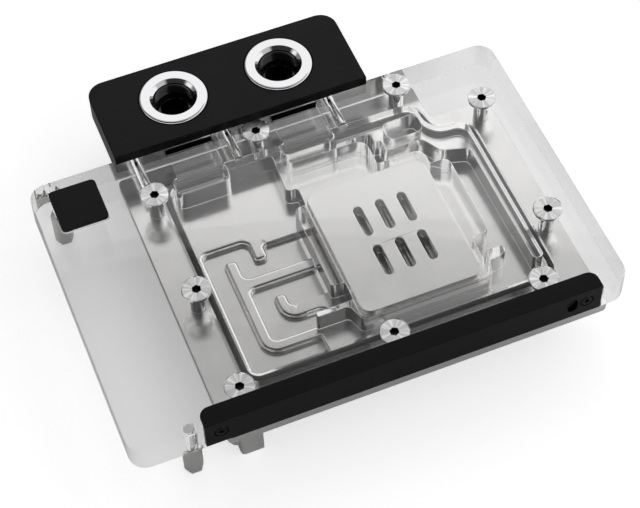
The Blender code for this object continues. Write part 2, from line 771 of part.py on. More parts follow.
def front_recess():
    """The step in the cover's front edge that takes the light bar and its strip."""
    left = BAR_LEFT - CLEAR
    right = BAR_RIGHT + CLEAR
    shelf = BAR_FACE_T + CLEAR
    room = shelf + STRIP_ROOM
    outline = rounded([
        (left, -PAST, 0),
        (right, -PAST, 0),
        (right, shelf, 0),
        (right - STRIP_END, shelf, 0),
        (right - STRIP_END, room, STRIP_ROOM_R),
        (left + STRIP_END, room, STRIP_ROOM_R),
        (left + STRIP_END, shelf, 0),
        (left, shelf, 0),
    ])
    return prism("front_recess", [outline], Z_UNDER - PAST, Z_TOP + PAST, CUTTERS)


def cover():
    outline = box_loop(0.0, 0.0, COVER_W, COVER_D, COVER_R, 8)
    body = prism("acrylic_cover", [outline], Z_UNDER, Z_TOP, PARTS)
    bevel(body, COVER_EDGE, 1, 60.0)
    cut(body, front_recess())
    track = rounded(seal_track(), 7)
    ring = [offset(track, -GROOVE_W / 2), offset(track, GROOVE_W / 2)]
    cut(body, prism("seal_groove", ring, Z_UNDER - PAST, Z_UNDER + GROOVE_DEPTH, CUTTERS))
    cut(body, deep_ways())
    cut(body, return_way())
    cut(body, land_relief())
    cut(body, shallow_ways())
    cut(body, shallow_feeds())
    cut(body, port_pockets())
    cut(body, cover_channels())
    cut(body, depth_rods("terminal_bores", BORE_U, BORE_D, COVER_D - BORE_L, COVER_D + PAST, BORE_Z))
    cut(body, countersinks())
    badge_hole = box_loop(
        BADGE_U - BADGE_W / 2 - CLEAR,
        BADGE_V - BADGE_D / 2 - CLEAR,
        BADGE_U + BADGE_W / 2 + CLEAR,
        BADGE_V + BADGE_D / 2 + CLEAR,
        BADGE_R + CLEAR,
    )
    cut(body, prism("badge_recess", [badge_hole], Z_TOP - BADGE_SUNK, Z_TOP + PAST, CUTTERS))
    studs = []
    for spot, (u, v) in STAND_SPOTS.items():
        studs.append(rod("stud_hole_" + spot, u, v, Z_UNDER - PAST, Z_UNDER + STUD_L + CLEAR, STUD_D + 2 * CLEAR))
    cut(body, join("stud_holes", studs))
    shelf = BAR_FACE_T + CLEAR
    taps = depth_rods("bar_taps", bar_screw_spots(), BAR_SCREW_D + 2 * CLEAR, shelf - PAST, shelf + BAR_SCREW_L, BAR_SCREW_Z)
    cut(body, taps)
    return finish(body, "acrylic")


def bar_screw_spots():
    return (BAR_LEFT + BAR_SCREW_IN, BAR_RIGHT - BAR_SCREW_IN)


def plate_outline():
    back = COVER_D - PLATE_BACK_IN
    return rounded([
        (PLATE_LEFT, 0.0, PLATE_R),
        (PLATE_RIGHT, 0.0, PLATE_R),
        (PLATE_RIGHT, NOTCH_V, PLATE_R),
        (NOTCH_U, NOTCH_V, NOTCH_R),
        (NOTCH_U, back, PLATE_R),
        (PLATE_LEFT, back, PLATE_R),
    ])


def under_land(name, u, v, width, depth, z0):
    """A land that stands down from the cold plate to touch a part of the card."""
    loop = box_loop(u - width / 2, v - depth / 2, u + width / 2, v + depth / 2, LAND_R)
    return prism(name, [loop], z0, LAND_TOP, CUTTERS)


def cold_plate():
    plate = prism("cold_plate", [plate_outline()], PLATE_BOTTOM, PLATE_TOP, PARTS)
    lands = [
        under_land("core_land", JET_U, JET_V, CORE_W, CORE_D, CORE_UP),
        under_land("memory_land_left", JET_LEFT - 12.0 * GRID, JET_V, MEMORY_W, MEMORY_L, LAND_UP),
        under_land("memory_land_right", JET_RIGHT + 12.0 * GRID, JET_V, MEMORY_W, MEMORY_L, LAND_UP),
        under_land("memory_land_back", JET_U, JET_BACK + 7.0 * GRID, MEMORY_L, MEMORY_W, LAND_UP),
        under_land("power_land", SEAL_LEFT + 1.0 * GRID, JET_V + 2.0 * GRID, POWER_W, POWER_L, LAND_UP),
    ]
    right = BLOCK_LEFT + BLOCK_W
    back = BLOCK_FRONT + BLOCK_D
    edge = 0.4 * GRID
    block = rounded([
        (BLOCK_LEFT, BLOCK_FRONT, 3 * edge),
        (right, BLOCK_FRONT, edge),
        (right, back, edge),
        (BLOCK_LEFT, back, edge),
    ], 3)
    lands.append(prism("front_block", [block], 0.0, LAND_TOP, CUTTERS))
    for i, (u, v) in enumerate(POST_SPOTS):
        lands.append(rod("post_%d" % i, u, v, 0.0, LAND_TOP, POST_D))
    cut(plate, join("lands", lands), "UNION")
    cut(plate, rod("nub", *NUB_SPOT, NUB_UP, PLATE_BOTTOM + PLATE_T / 4, NUB_D), "UNION")
    holes = []
    for spot, (u, v) in SCREW_SPOTS.items():
        holes.append(rod("tap_" + spot, u, v, PLATE_BOTTOM - PAST, PLATE_TOP + PAST, SCREW_D + 2 * CLEAR))
    for i, (u, v) in enumerate(POST_SPOTS):
        holes.append(rod("post_tap_%d" % i, u, v, -PAST, POST_HOLE_L, POST_HOLE_D, sides=12))
    cut(plate, join("plate_holes", holes))
    gaps = []
    count = int(FIN_W / FIN_PITCH)
    for i in range(count):
        u = JET_U + (i - (count - 1) / 2) * FIN_PITCH
        loop = box_loop(u - FIN_GAP / 2, JET_V - FIN_L / 2, u + FIN_GAP / 2, JET_V + FIN_L / 2)
        gaps.append(prism("fin_gap_%d" % i, [loop], PLATE_TOP - FIN_DEPTH, PLATE_TOP + PAST, CUTTERS))
    cut(plate, join("fin_gaps", gaps))
    return finish(plate, "nickel")


def jet_slots():
    """Six plain round-ended slots, in two rows of three."""
    mid_u = JET_U + 0.7 * GRID
    mid_v = JET_V
    loops = []
    for row in (-0.5, 0.5):
        for column in (-1, 0, 1):
            u = mid_u + column * SLOT_PITCH_U
            v = mid_v + row * SLOT_PITCH_V
            half_w = SLOT_W / 2
            half_l = SLOT_L / 2
            loops.append(box_loop(u - half_w, v - half_l, u + half_w, v + half_l, half_w * 0.98, 5))
    return loops


def jet_plate():
    outer = box_loop(JET_LEFT, JET_FRONT, JET_RIGHT, JET_BACK, JET_R, 8)
    body = prism("jet_plate", [outer, *jet_slots()], JET_BOTTOM, JET_TOP, PARTS)
    inner = offset(outer, JET_RIM)
    wide = offset(outer, -PAST)
    cut(body, prism("jet_rim", [wide, inner], JET_TOP - JET_STEP, JET_TOP + PAST, CUTTERS))
    return finish(body, "nickel")


def ring_tube(name, corners, cord, collection, kind, steps, flat=True):
    """A closed gasket of round cord along an outline."""
    curve = bpy.data.curves.new(name, "CURVE")
    curve.dimensions = "3D"
    curve.bevel_depth = cord / 2
    curve.bevel_resolution = 2
    loop = rounded(corners, steps)
    spline = curve.splines.new("POLY")
    spline.points.add(len(loop) - 1)
    for point, (a, b) in zip(spline.points, loop):
        co = place(a, b, 0.0) if flat else (a, 0.0, b)
        point.co = (*co, 1.0)
    spline.use_cyclic_u = True
    obj = new_object(name, curve, collection)
    bpy.context.view_layer.update()
    return obj


def main_gasket():
    obj = ring_tube("main_gasket", seal_track(), CORD_D, PARTS, "rubber", 7)
    obj.location.z = PLATE_TOP + SEAT + CORD_D / 2
    bpy.context.view_layer.update()
    return finish(bake(obj, "main_gasket", PARTS), "rubber")


def side_gasket_corners(grow):
    """The outline of a port gasket in its own face, u across and z up, around a channel."""
    half_w = TUNNEL_W / 2 + SIDE_SEAL_OUT + grow
    half_h = TUNNEL_H / 2 + SIDE_SEAL_OUT + grow
    radius = half_h * 0.98
    return [(-half_w, -half_h, radius), (half_w, -half_h, radius), (half_w, half_h, radius), (-half_w, half_h, radius)]


def side_groove(i, u):
    """The groove for a port gasket in the terminal's mating face."""
    outer = rounded(side_gasket_corners(SIDE_CORD / 2 + SIDE_GAP), 6)
    inner = rounded(side_gasket_corners(-SIDE_CORD / 2 - SIDE_GAP), 6)
    depth = SIDE_CORD + SIDE_GAP
    upright = prism("side_groove_%d" % i, [outer, inner], 0.0, depth + PAST, CUTTERS)
    return lying("side_groove_%d" % i, upright, u, TERM_FACE - PAST, TUNNEL_Z, -math.pi / 2)


def side_gaskets():
    made = []
    for side, u in zip(("left", "right"), TUNNEL_U):
        name = "port_gasket_" + side
        obj = ring_tube(name, side_gasket_corners(0.0), SIDE_CORD, PARTS, "rubber", 3, flat=False)
        x, y, z = place(u, TERM_FACE + SIDE_CORD / 2, TUNNEL_Z)
        obj.location = (x, y, z)
        bpy.context.view_layer.update()
        made.append(finish(bake(obj, name, PARTS), "rubber"))
    return made


def terminal_chamfers():
    """The chamfers along the left and right bottom edges of the terminal."""
    wedges = []
    for i, (edge, way) in enumerate(((TERM_LEFT, 1), (TERM_RIGHT, -1))):
        reach = TERM_CHAMFER + PAST
        corner = [(-way * PAST, PAST), (way * reach, PAST), (-way * PAST, -reach)]
        upright = prism("terminal_chamfer_%d" % i, [corner], 0.0, TERM_D + 2 * PAST, CUTTERS)
        wedges.append(lying("terminal_chamfer_%d" % i, upright, edge, TERM_FRONT - PAST, TERM_Z0, -math.pi / 2))
    return join("terminal_chamfers", wedges)


def terminal_block():
    right = TERM_RIGHT
    outline = rounded([
        (TERM_LEFT, TERM_FRONT, 0),
        (right, TERM_FRONT, 0),
        (right, TERM_BACK, TERM_R),
        (TERM_LEFT, TERM_BACK, TERM_R),
    ], 8)
    body = prism("terminal_block", [outline], TERM_Z0, TERM_Z1, PARTS, TERM_EDGE)
    lip = prism(
        "terminal_lip",
        [box_loop(TERM_LEFT - PAST, TERM_FRONT - PAST, right + PAST, TERM_FACE)],
        TERM_Z0 - PAST,
        Z_TOP + SEAT,
        CUTTERS,
    )
    cut(body, lip)
    cut(body, terminal_chamfers())
    bores = []
    seat_d = RING_OD + 2 * CLEAR
    ring_floor = TERM_Z1 + RING_PROUD - RING_T - CLEAR
    for i, u in enumerate(PORT_U):
        floor = TUNNEL_Z - TUNNEL_H / 2 - PORT_SUMP - TERM_Z1
        step = -PORT_DEPTH
        profile = [
            (0.0, PAST),
            (seat_d / 2, PAST),
            (seat_d / 2, ring_floor - TERM_Z1),
            (PORT_D / 2, ring_floor - TERM_Z1),
            (PORT_D / 2, step),
            (PORT_HOLE_D / 2, step),
            (PORT_HOLE_D / 2, floor),
            (0.0, floor),
        ]
        bores.append(turned("port_bore_%d" % i, profile, u, PORT_V, TERM_Z1, CUTTERS, ROUND))
    bpy.context.view_layer.update()
    cut(body, join("port_bores", bores))
    cut(body, terminal_channels())
    for i, u in enumerate(TUNNEL_U):
        cut(body, side_groove(i, u))
    head_room = TSCREW_HEAD_H + CLEAR
    cut(body, depth_rods("tscrew_holes", BORE_U, BORE_D + 2 * CLEAR, TERM_FACE - PAST, TERM_BACK + PAST, BORE_Z))
    heads = depth_rods(
        "tscrew_counterbores",
        BORE_U,
        TSCREW_HEAD_D + 2 * TSCREW_ROOM,
        TERM_BACK - head_room,
        TERM_BACK + PAST,
        BORE_Z,
        sides=20,
    )
    cut(body, heads)
    return finish(body, "acetal")


def port_rings():
    made = []
    edge = RING_EDGE
    outer = RING_OD / 2
    inner = RING_ID / 2
    profile = [
        (inner + edge, 0.0),
        (outer - edge, 0.0),
        (outer, -edge),
        (outer, -RING_T),
        (inner, -RING_T),
        (inner, -edge * 1.2),
    ]
    for side, u in zip(("left", "right"), PORT_U):
        name = "port_ring_" + side
        ring = turned(name, profile, u, PORT_V, TERM_Z1 + RING_PROUD, PARTS, 40)
        bpy.context.view_layer.update()
        made.append(finish(bake(ring, name, PARTS), "chrome"))
    return made


def countersunk_screw(name, diameter, head_d, rim, length, tip, socket_af, socket_depth, sides):
    """One countersunk screw at the plan's zero with its head's top at height zero."""
    cone = (head_d - diameter) / 2
    profile = [
        (0.0, 0.0),
        (head_d / 2, 0.0),
        (head_d / 2, -rim),
        (diameter / 2, -rim - cone),
        (diameter / 2, -length + tip),
        (diameter / 2 - tip, -length),
        (0.0, -length),
    ]
    screw = turned(name, profile, 0.0, 0.0, 0.0, CUTTERS, sides)
    across = socket_af / math.cos(math.pi / 6)
    cut(screw, rod(name + "_socket", 0.0, 0.0, -socket_depth, PAST, across, sides=6))
    bpy.context.view_layer.update()
    screw = bake(screw, name, CUTTERS)
    screw.data.transform(Matrix.Translation([-c for c in place(0.0, 0.0, 0.0)]))
    return screw


def copies(master, spots, prefix, kind):
    """Stand a copy of a master piece at each spot, all sharing its mesh."""
    mesh = master.data
    mesh.materials.clear()
    mesh.materials.append(MATERIALS[kind])
    bpy.data.objects.remove(master, do_unlink=True)
    for spot, point in spots.items():
        obj = new_object(prefix + spot, mesh, PARTS)
        obj.location = point


def cover_screws():
    master = countersunk_screw(
        "cover_screw", SCREW_D, HEAD_D, HEAD_RIM, SCREW_L, SCREW_TIP, SOCKET_AF, SOCKET_DEPTH, 20
    )
    spots = {spot: place(u, v, Z_TOP) for spot, (u, v) in SCREW_SPOTS.items()}
    copies(master, spots, "cover_screw_", "steel")


def terminal_screws():
    """Cap screws that go in from the terminal's back and pull it against the cover."""
    length = TERM_BACK - TERM_FACE + SEAT + TSCREW_IN - TSCREW_HEAD_H
    head = TSCREW_HEAD_D / 2
    shank = BORE_D / 2 - CLEAR
    profile = [
        (0.0, TSCREW_HEAD_H),
        (head - 0.3 * GRID, TSCREW_HEAD_H),
        (head, TSCREW_HEAD_H - 0.3 * GRID),
        (head, 0.0),
        (shank, 0.0),
        (shank, -length),
        (0.0, -length),
    ]
    screw = turned("terminal_screw", profile, 0.0, 0.0, 0.0, CUTTERS, 16)
    across = TSCREW_SOCKET / math.cos(math.pi / 6)
    cut(screw, rod("terminal_screw_socket", 0.0, 0.0, TSCREW_HEAD_H - TSCREW_SOCKET_L, TSCREW_HEAD_H + PAST, across, sides=6))
    bpy.context.view_layer.update()
    screw = bake(screw, "terminal_screw", CUTTERS)
    screw.data.transform(Matrix.Translation([-c for c in place(0.0, 0.0, 0.0)]))
    screw.data.transform(Matrix.Rotation(-math.pi / 2, 4, "X"))
    names = ("left", "middle", "right")
    spots = {spot: place(u, TERM_BACK - TSCREW_HEAD_H, BORE_Z) for spot, u in zip(names, BORE_U)}
    copies(screw, spots, "terminal_screw_", "steel")


def light_bar():
    """The thin L-shaped cover along the front edge."""
    right = BAR_RIGHT
    top = rounded([
        (BAR_LEFT, 0.0, 0),
        (right, 0.0, 0),
        (right, BAR_D, BAR_R),
        (BAR_LEFT, BAR_D, BAR_R),
    ], 8)
    bar = prism("light_bar", [top], BAR_Z0, BAR_Z1, PARTS)
    hollow = box_loop(BAR_LEFT - PAST, BAR_FACE_T, right + PAST, BAR_D + PAST)
    cut(bar, prism("bar_hollow", [hollow], BAR_Z0 - PAST, BAR_Z1 - BAR_TOP_T, CUTTERS))
    slot_half = CABLE_SLOT_W / 2
    rise = CABLE_SLOT_H / 2
    slot = box_loop(-slot_half, -rise, slot_half, rise, slot_half * 0.98)
    upright = prism("cable_slot", [slot], 0.0, BAR_FACE_T + 2 * PAST, CUTTERS)
    cut(bar, lying("cable_slot", upright, CABLE_SLOT_U, -PAST, BAR_SCREW_Z, -math.pi / 2))
    sink = BAR_SCREW_HEAD + 2 * CLEAR
    hole = BAR_SCREW_D + 2 * CLEAR
    rim = 0.2 * GRID
    profile = [
        (0.0, PAST),
        (sink / 2, PAST),
        (sink / 2, -rim - CLEAR),
        (hole / 2, -rim - CLEAR - (sink - hole) / 2),
        (hole / 2, -3 * PAST),
        (0.0, -3 * PAST),
    ]
    sinks = []
    for i, u in enumerate(bar_screw_spots()):
        upright = turned("bar_sink_%d" % i, profile, 0.0, 0.0, 0.0, CUTTERS, 20)
        bpy.context.view_layer.update()
        sinks.append(lying("bar_sink_%d" % i, upright, u, 0.0, BAR_SCREW_Z, math.pi / 2))
    cut(bar, join("bar_sinks", sinks))
    return finish(bar, "anodised")


def bar_screws():
    master = countersunk_screw(
        "bar_screw", BAR_SCREW_D, BAR_SCREW_HEAD, 0.2 * GRID, BAR_SCREW_L, 0.3 * GRID, BAR_SOCKET, BAR_SOCKET_L, 16
    )
    master.data.transform(Matrix.Rotation(math.pi / 2, 4, "X"))
    spots = {
        spot: place(u, 0.0, BAR_SCREW_Z) for spot, u in zip(("left", "right"), bar_screw_spots())
    }
    copies(master, spots, "bar_screw_", "anodised")


def light_strip():
    """The circuit board behind the bar's face, with its lights turned to the cover's edge."""
    left = BAR_LEFT + STRIP_END
    right = CABLE_SLOT_U - CABLE_SLOT_W / 2 - 0.6 * GRID
    mid = BAR_SCREW_Z
    v0 = BAR_FACE_T + SEAT
    board = prism(
        "light_strip",
        [box_loop(left, v0, right, v0 + STRIP_T)],
        mid - STRIP_H / 2,
        mid + STRIP_H / 2,
        PARTS,
    )
    lights = []
    count = int((right - left) / LED_PITCH)
    for i in range(count):
        u = (left + right) / 2 + (i - (count - 1) / 2) * LED_PITCH
        loop = box_loop(u - LED_W / 2, v0 + STRIP_T / 2, u + LED_W / 2, v0 + STRIP_T + LED_T)
        lights.append(prism("led_%d" % i, [loop], mid - LED_H / 2, mid + LED_H / 2, CUTTERS))
    cut(board, join("leds", lights), "UNION")
    return finish(board, "board")


def badge():
    z0 = Z_TOP - BADGE_SUNK + SEAT
    loop = box_loop(
        BADGE_U - BADGE_W / 2,
        BADGE_V - BADGE_D / 2,
        BADGE_U + BADGE_W / 2,
        BADGE_V + BADGE_D / 2,
        BADGE_R,
    )
    plate = prism("badge_plate", [loop], z0, z0 + BADGE_T, PARTS)
    bevel(plate, 0.2 * GRID, 1, 60.0)
    return finish(plate, "anodised")


def standoffs():
    """Hex standoffs with a threaded stud that goes up into the cover."""
    across = STAND_AF / math.cos(math.pi / 6)
    for spot, (u, v) in STAND_SPOTS.items():
        name = "standoff_" + spot
        body = prism(name, [circle_loop(u, v, across, 6)], 0.0, Z_UNDER - SEAT, PARTS)
        bevel(body, STAND_CHAMFER, 1, 80.0)
        stud = rod(name + "_stud", u, v, Z_UNDER - SEAT - PAST, Z_UNDER + STUD_L, STUD_D)
        cut(body, stud, "UNION")
        cut(body, rod(name + "_tap", u, v, -PAST, STAND_TAP_L, STAND_TAP_D, sides=12))
        finish(body, "nickel")


def shade_round_faces():
    for obj in PARTS.objects:
        obj.data.shade_smooth()
        obj.data.set_sharp_from_angle(angle=math.radians(30.0))


cover()
cold_plate()
jet_plate()
main_gasket()
side_gaskets()
terminal_block()
port_rings()
cover_screws()
terminal_screws()
light_bar()
bar_screws()
light_strip()
badge()
standoffs()
shade_round_faces()
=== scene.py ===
# %% [markdown]
# A water block for a graphics card, dressed for its portrait.
#
# The solids come from a CAD part and stay where they are. This lesson adds the
# light, the camera and the finishes, and builds finer pieces where the solids
# are too plain: edges that catch light, turned screw heads, polished rings.
# Everything is in metres, in the frame of the CAD part.

import math

import bpy
from mathutils import Matrix, Vector


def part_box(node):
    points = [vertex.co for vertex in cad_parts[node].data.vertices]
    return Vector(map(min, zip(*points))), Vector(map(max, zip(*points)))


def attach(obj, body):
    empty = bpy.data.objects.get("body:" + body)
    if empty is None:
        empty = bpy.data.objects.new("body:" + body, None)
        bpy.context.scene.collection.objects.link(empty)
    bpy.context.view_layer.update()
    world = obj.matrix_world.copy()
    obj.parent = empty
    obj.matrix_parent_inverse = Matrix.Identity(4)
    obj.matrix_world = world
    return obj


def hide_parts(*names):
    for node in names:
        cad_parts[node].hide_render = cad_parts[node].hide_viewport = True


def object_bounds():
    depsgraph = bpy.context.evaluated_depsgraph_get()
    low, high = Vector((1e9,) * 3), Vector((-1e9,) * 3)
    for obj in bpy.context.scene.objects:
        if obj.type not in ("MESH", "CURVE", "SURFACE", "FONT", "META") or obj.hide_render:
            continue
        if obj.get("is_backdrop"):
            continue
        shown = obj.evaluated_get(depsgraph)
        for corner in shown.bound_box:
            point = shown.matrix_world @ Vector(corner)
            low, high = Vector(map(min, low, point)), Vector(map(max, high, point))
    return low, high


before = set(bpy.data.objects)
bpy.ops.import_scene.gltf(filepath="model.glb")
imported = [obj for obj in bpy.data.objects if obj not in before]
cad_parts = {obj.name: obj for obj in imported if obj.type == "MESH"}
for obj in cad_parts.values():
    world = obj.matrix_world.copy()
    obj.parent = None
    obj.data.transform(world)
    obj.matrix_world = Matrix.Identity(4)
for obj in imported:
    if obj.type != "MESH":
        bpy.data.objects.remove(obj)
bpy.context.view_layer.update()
MM = 0.001
bpy.ops.object.select_all(action="DESELECT")

# %% [markdown]
# The camera stands where the photographer's did. Its place was worked out from
# the cover's corners and the screw heads: a long lens, 55 degrees above the
# floor, 20 degrees to the left of the block's own front, and a slight roll.

# %% Camera
AZIMUTH = math.radians(20.19)
ELEVATION = math.radians(54.51)
ROLL = math.radians(2.18)
DISTANCE = 538.33 * MM
AIM = Vector((-3.46, -20.72, 22.8)) * MM


def look_from(azimuth, elevation, roll, distance, aim):
    """The camera's matrix, from its angles round the point it looks at."""
    back = Vector((
        -math.sin(azimuth) * math.cos(elevation),
        -math.cos(azimuth) * math.cos(elevation),
        math.sin(elevation),
    ))
    right = (-back).cross(Vector((0, 0, 1))).normalized()
    down = (-back).cross(right)
    turned_right = math.cos(roll) * right + math.sin(roll) * down
    turned_down = -math.sin(roll) * right + math.cos(roll) * down
    axes = Matrix((turned_right, -turned_down, back)).transposed().to_4x4()
    return Matrix.Translation(aim + distance * back) @ axes


bpy.ops.object.camera_add()
camera = bpy.context.object
camera.name = "portrait_camera"
camera.data.lens = 105.36
camera.data.sensor_width = 36.0
camera.data.clip_start = 0.01
camera.matrix_world = look_from(AZIMUTH, ELEVATION, ROLL, DISTANCE, AIM)
bpy.context.scene.camera = camera
print("camera at, mm:", [round(c / MM, 1) for c in camera.location])

# %% [markdown]
# Clear acrylic shows mostly what it reflects, so the light is built as a room
# of soft panels and not as lamps. A wide bright panel stands low behind the
# block; it ends just above the mirror angle of the cover's middle, and that is
# why a haze lies on the back half of the cover and stops at a line. The side
# behind the camera stays dark, as in a studio, apart from a low bright strip
# that polished edges mirror as a white line, and a pale wall stands at the
# right. A world shader can paint such a room by direction, with no noise from
# small lamps. Heights are angles above the floor, in degrees.

# %% Room of soft panels
scene = bpy.context.scene
scene.view_settings.view_transform = "Standard"
scene.cycles.max_bounces = 24
scene.cycles.transmission_bounces = 20
scene.cycles.glossy_bounces = 10
scene.cycles.diffuse_bounces = 3
scene.cycles.transparent_max_bounces = 12
scene.cycles.sample_clamp_indirect = 6.0

world = bpy.data.worlds.new("soft_room")
scene.world = world
world.use_nodes = True
room = world.node_tree
room.nodes.clear()


def math_node(tree, operation, a, b=None, c=None, clamp=False):
    """One Math node; each value is a number or another node's output."""
    node = tree.nodes.new("ShaderNodeMath")
    node.operation = operation
    node.use_clamp = clamp
    for socket, value in zip(node.inputs, (a, b, c)):
        if value is None:
            continue
        if isinstance(value, (int, float)):
            socket.default_value = value
        else:
            tree.links.new(value, socket)
    return node.outputs[0]


def ramp_node(tree, value, low, high, to_low=0.0, to_high=1.0, smooth=True):
    """A Map Range node that turns low..high into to_low..to_high."""
    node = tree.nodes.new("ShaderNodeMapRange")
    node.interpolation_type = "SMOOTHSTEP" if smooth else "LINEAR"
    tree.links.new(value, node.inputs["Value"])
    node.inputs["From Min"].default_value = low
    node.inputs["From Max"].default_value = high
    node.inputs["To Min"].default_value = to_low
    node.inputs["To Max"].default_value = to_high
    return node.outputs["Result"]


def sine(degrees):
    return math.sin(math.radians(degrees))


PANEL_EDGE = 53.35
PANEL_BRIGHT = 1.65
PANEL_HAZE = 0.95
PANEL_DARK = 0.28
SKY_GAIN = 0.32
NEAR_LOW = 1.6
NEAR_DARK = 0.05
ZENITH_GAIN = 0.40
LEFT_DIM = 0.22
RIGHT_WALL = 0.9

coords = room.nodes.new("ShaderNodeTexCoord")
split = room.nodes.new("ShaderNodeSeparateXYZ")
room.links.new(coords.outputs["Generated"], split.inputs[0])
height = split.outputs["Z"]
away = math_node(
    room, "ADD",
    math_node(room, "MULTIPLY", split.outputs["X"], math.sin(AZIMUTH)),
    math_node(room, "MULTIPLY", split.outputs["Y"], math.cos(AZIMUTH)),
)
panel = ramp_node(room, height, sine(PANEL_EDGE), sine(PANEL_EDGE + 0.15), PANEL_BRIGHT, PANEL_HAZE)
fall = ramp_node(room, height, sine(53.9), sine(54.1), 0.0, PANEL_DARK - PANEL_HAZE)
sky = ramp_node(room, height, sine(55.0), sine(60.0), 0.0, SKY_GAIN)
panel = math_node(room, "ADD", math_node(room, "ADD", panel, fall), sky)
near = ramp_node(room, height, sine(19.0), sine(25.0), NEAR_LOW, NEAR_DARK)
zenith = ramp_node(room, height, sine(78.0), sine(85.0), 0.0, ZENITH_GAIN)
near = math_node(room, "ADD", near, zenith)
sideways = math_node(
    room, "SUBTRACT",
    math_node(room, "MULTIPLY", split.outputs["X"], math.cos(AZIMUTH)),
    math_node(room, "MULTIPLY", split.outputs["Y"], math.sin(AZIMUTH)),
)
dimmed = ramp_node(room, sideways, -0.42, -0.22, LEFT_DIM, 1.0)
panel = math_node(room, "MULTIPLY", panel, dimmed)
right_wall = ramp_node(room, sideways, 0.30, 0.62, 0.0, RIGHT_WALL)
panel = math_node(room, "MAXIMUM", panel, right_wall)
near = math_node(room, "MAXIMUM", near, right_wall)
behind = ramp_node(room, away, -0.12, 0.12)
mixed = room.nodes.new("ShaderNodeMix")
mixed.data_type = "FLOAT"
room.links.new(behind, mixed.inputs[0])
room.links.new(near, mixed.inputs[2])
room.links.new(panel, mixed.inputs[3])
ray = room.nodes.new("ShaderNodeLightPath")
seen = room.nodes.new("ShaderNodeMix")
seen.data_type = "FLOAT"
room.links.new(ray.outputs["Is Camera Ray"], seen.inputs[0])
room.links.new(mixed.outputs[0], seen.inputs[2])
seen.inputs[3].default_value = 1.0
background = room.nodes.new("ShaderNodeBackground")
room.links.new(seen.outputs[0], background.inputs["Strength"])
surroundings = room.nodes.new("ShaderNodeOutputWorld")
room.links.new(background.outputs[0], surroundings.inputs["Surface"])
print("room painted with", len(room.nodes), "nodes")

# %% [markdown]
# The floor is a wide pale sheet. It keeps the block's soft shadow, and a little
# glow that only the camera sees lifts the open floor to white. Seen through the
# clear cover the floor glows less, because the real one lies in its shade.

# %% Floor
bpy.ops.mesh.primitive_plane_add(size=6.0, location=(0, 0, 0))
floor = bpy.context.object
floor.name = "studio_floor"
floor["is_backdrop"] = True
paper = bpy.data.materials.new("white paper")
paper.use_nodes = True
sheet = paper.node_tree
skin = sheet.nodes["Principled BSDF"]
skin.inputs["Base Color"].default_value = (0.8, 0.8, 0.8, 1.0)
skin.inputs["Roughness"].default_value = 0.9
skin.inputs["Specular IOR Level"].default_value = 0.1
path = sheet.nodes.new("ShaderNodeLightPath")
OPEN_GLOW = 0.62
COVERED_GLOW = 0.34
seen_white = math_node(sheet, "MULTIPLY", path.outputs["Is Camera Ray"], OPEN_GLOW)
seen_clear = math_node(sheet, "MULTIPLY", path.outputs["Is Transmission Ray"], COVERED_GLOW)
glow = math_node(sheet, "ADD", seen_white, seen_clear)
sheet.links.new(glow, skin.inputs["Emission Strength"])
skin.inputs["Emission Color"].default_value = (1.0, 1.0, 1.0, 1.0)
floor.data.materials.append(paper)

# %% [markdown]
# Most finishes share two effects. Fine grain is the skin that blasting, plating
# or moulding leaves: a soft noise much smaller than a millimetre. Handling is
# the slow change in gloss that wiping and touching leave. Each is a node group
# with its own sockets, so a material only says how strong and how large.

# %% Shared effects


def effect(name, inputs, outputs):
    """A shader node group with float inputs {name: default} and float outputs."""
    tree = bpy.data.node_groups.new(name, "ShaderNodeTree")
    for label, value in inputs.items():
        socket = tree.interface.new_socket(label, in_out="INPUT", socket_type="NodeSocketFloat")
        socket.default_value = value
    for label in outputs:
        tree.interface.new_socket(label, in_out="OUTPUT", socket_type="NodeSocketFloat")
    source = tree.nodes.new("NodeGroupInput")
    target = tree.nodes.new("NodeGroupOutput")
    return tree, source.outputs, target.inputs


def noise_node(tree, scale, detail, roughness=0.5):
    """A Noise texture on Object coordinates."""
    place = tree.nodes.new("ShaderNodeTexCoord")
    node = tree.nodes.new("ShaderNodeTexNoise")
    tree.links.new(place.outputs["Object"], node.inputs["Vector"])
    if isinstance(scale, (int, float)):
        node.inputs["Scale"].default_value = scale
    else:
        tree.links.new(scale, node.inputs["Scale"])
    node.inputs["Detail"].default_value = detail
    node.inputs["Roughness"].default_value = roughness
    return node.outputs["Fac"]


grain, grain_in, grain_out = effect("fine_grain", {"Per Metre": 5000.0, "Depth": 1.0}, ["Height"])
skin_noise = noise_node(grain, grain_in["Per Metre"], 3.0, 0.6)
deep = math_node(grain, "MULTIPLY", skin_noise, grain_in["Depth"])
grain.links.new(deep, grain_out["Height"])

handling, handling_in, handling_out = effect(
    "handling", {"Per Metre": 60.0, "Clean": 0.2, "Touched": 0.3}, ["Roughness"]
)
wipes = noise_node(handling, handling_in["Per Metre"], 6.0, 0.65)
wiped = ramp_node(handling, wipes, 0.42, 0.68)
change = math_node(handling, "SUBTRACT", handling_in["Touched"], handling_in["Clean"])
gloss = math_node(handling, "MULTIPLY_ADD", wiped, change, handling_in["Clean"])
handling.links.new(gloss, handling_out["Roughness"])
print("effects:", [g.name for g in bpy.data.node_groups])

# %% [markdown]
# A finish starts from one helper: a Principled shader with its plain numbers,
# the handling effect on its roughness and the grain as a bump. What makes each
# material its own comes after that, in its own cell.

# %% Helper for finishes


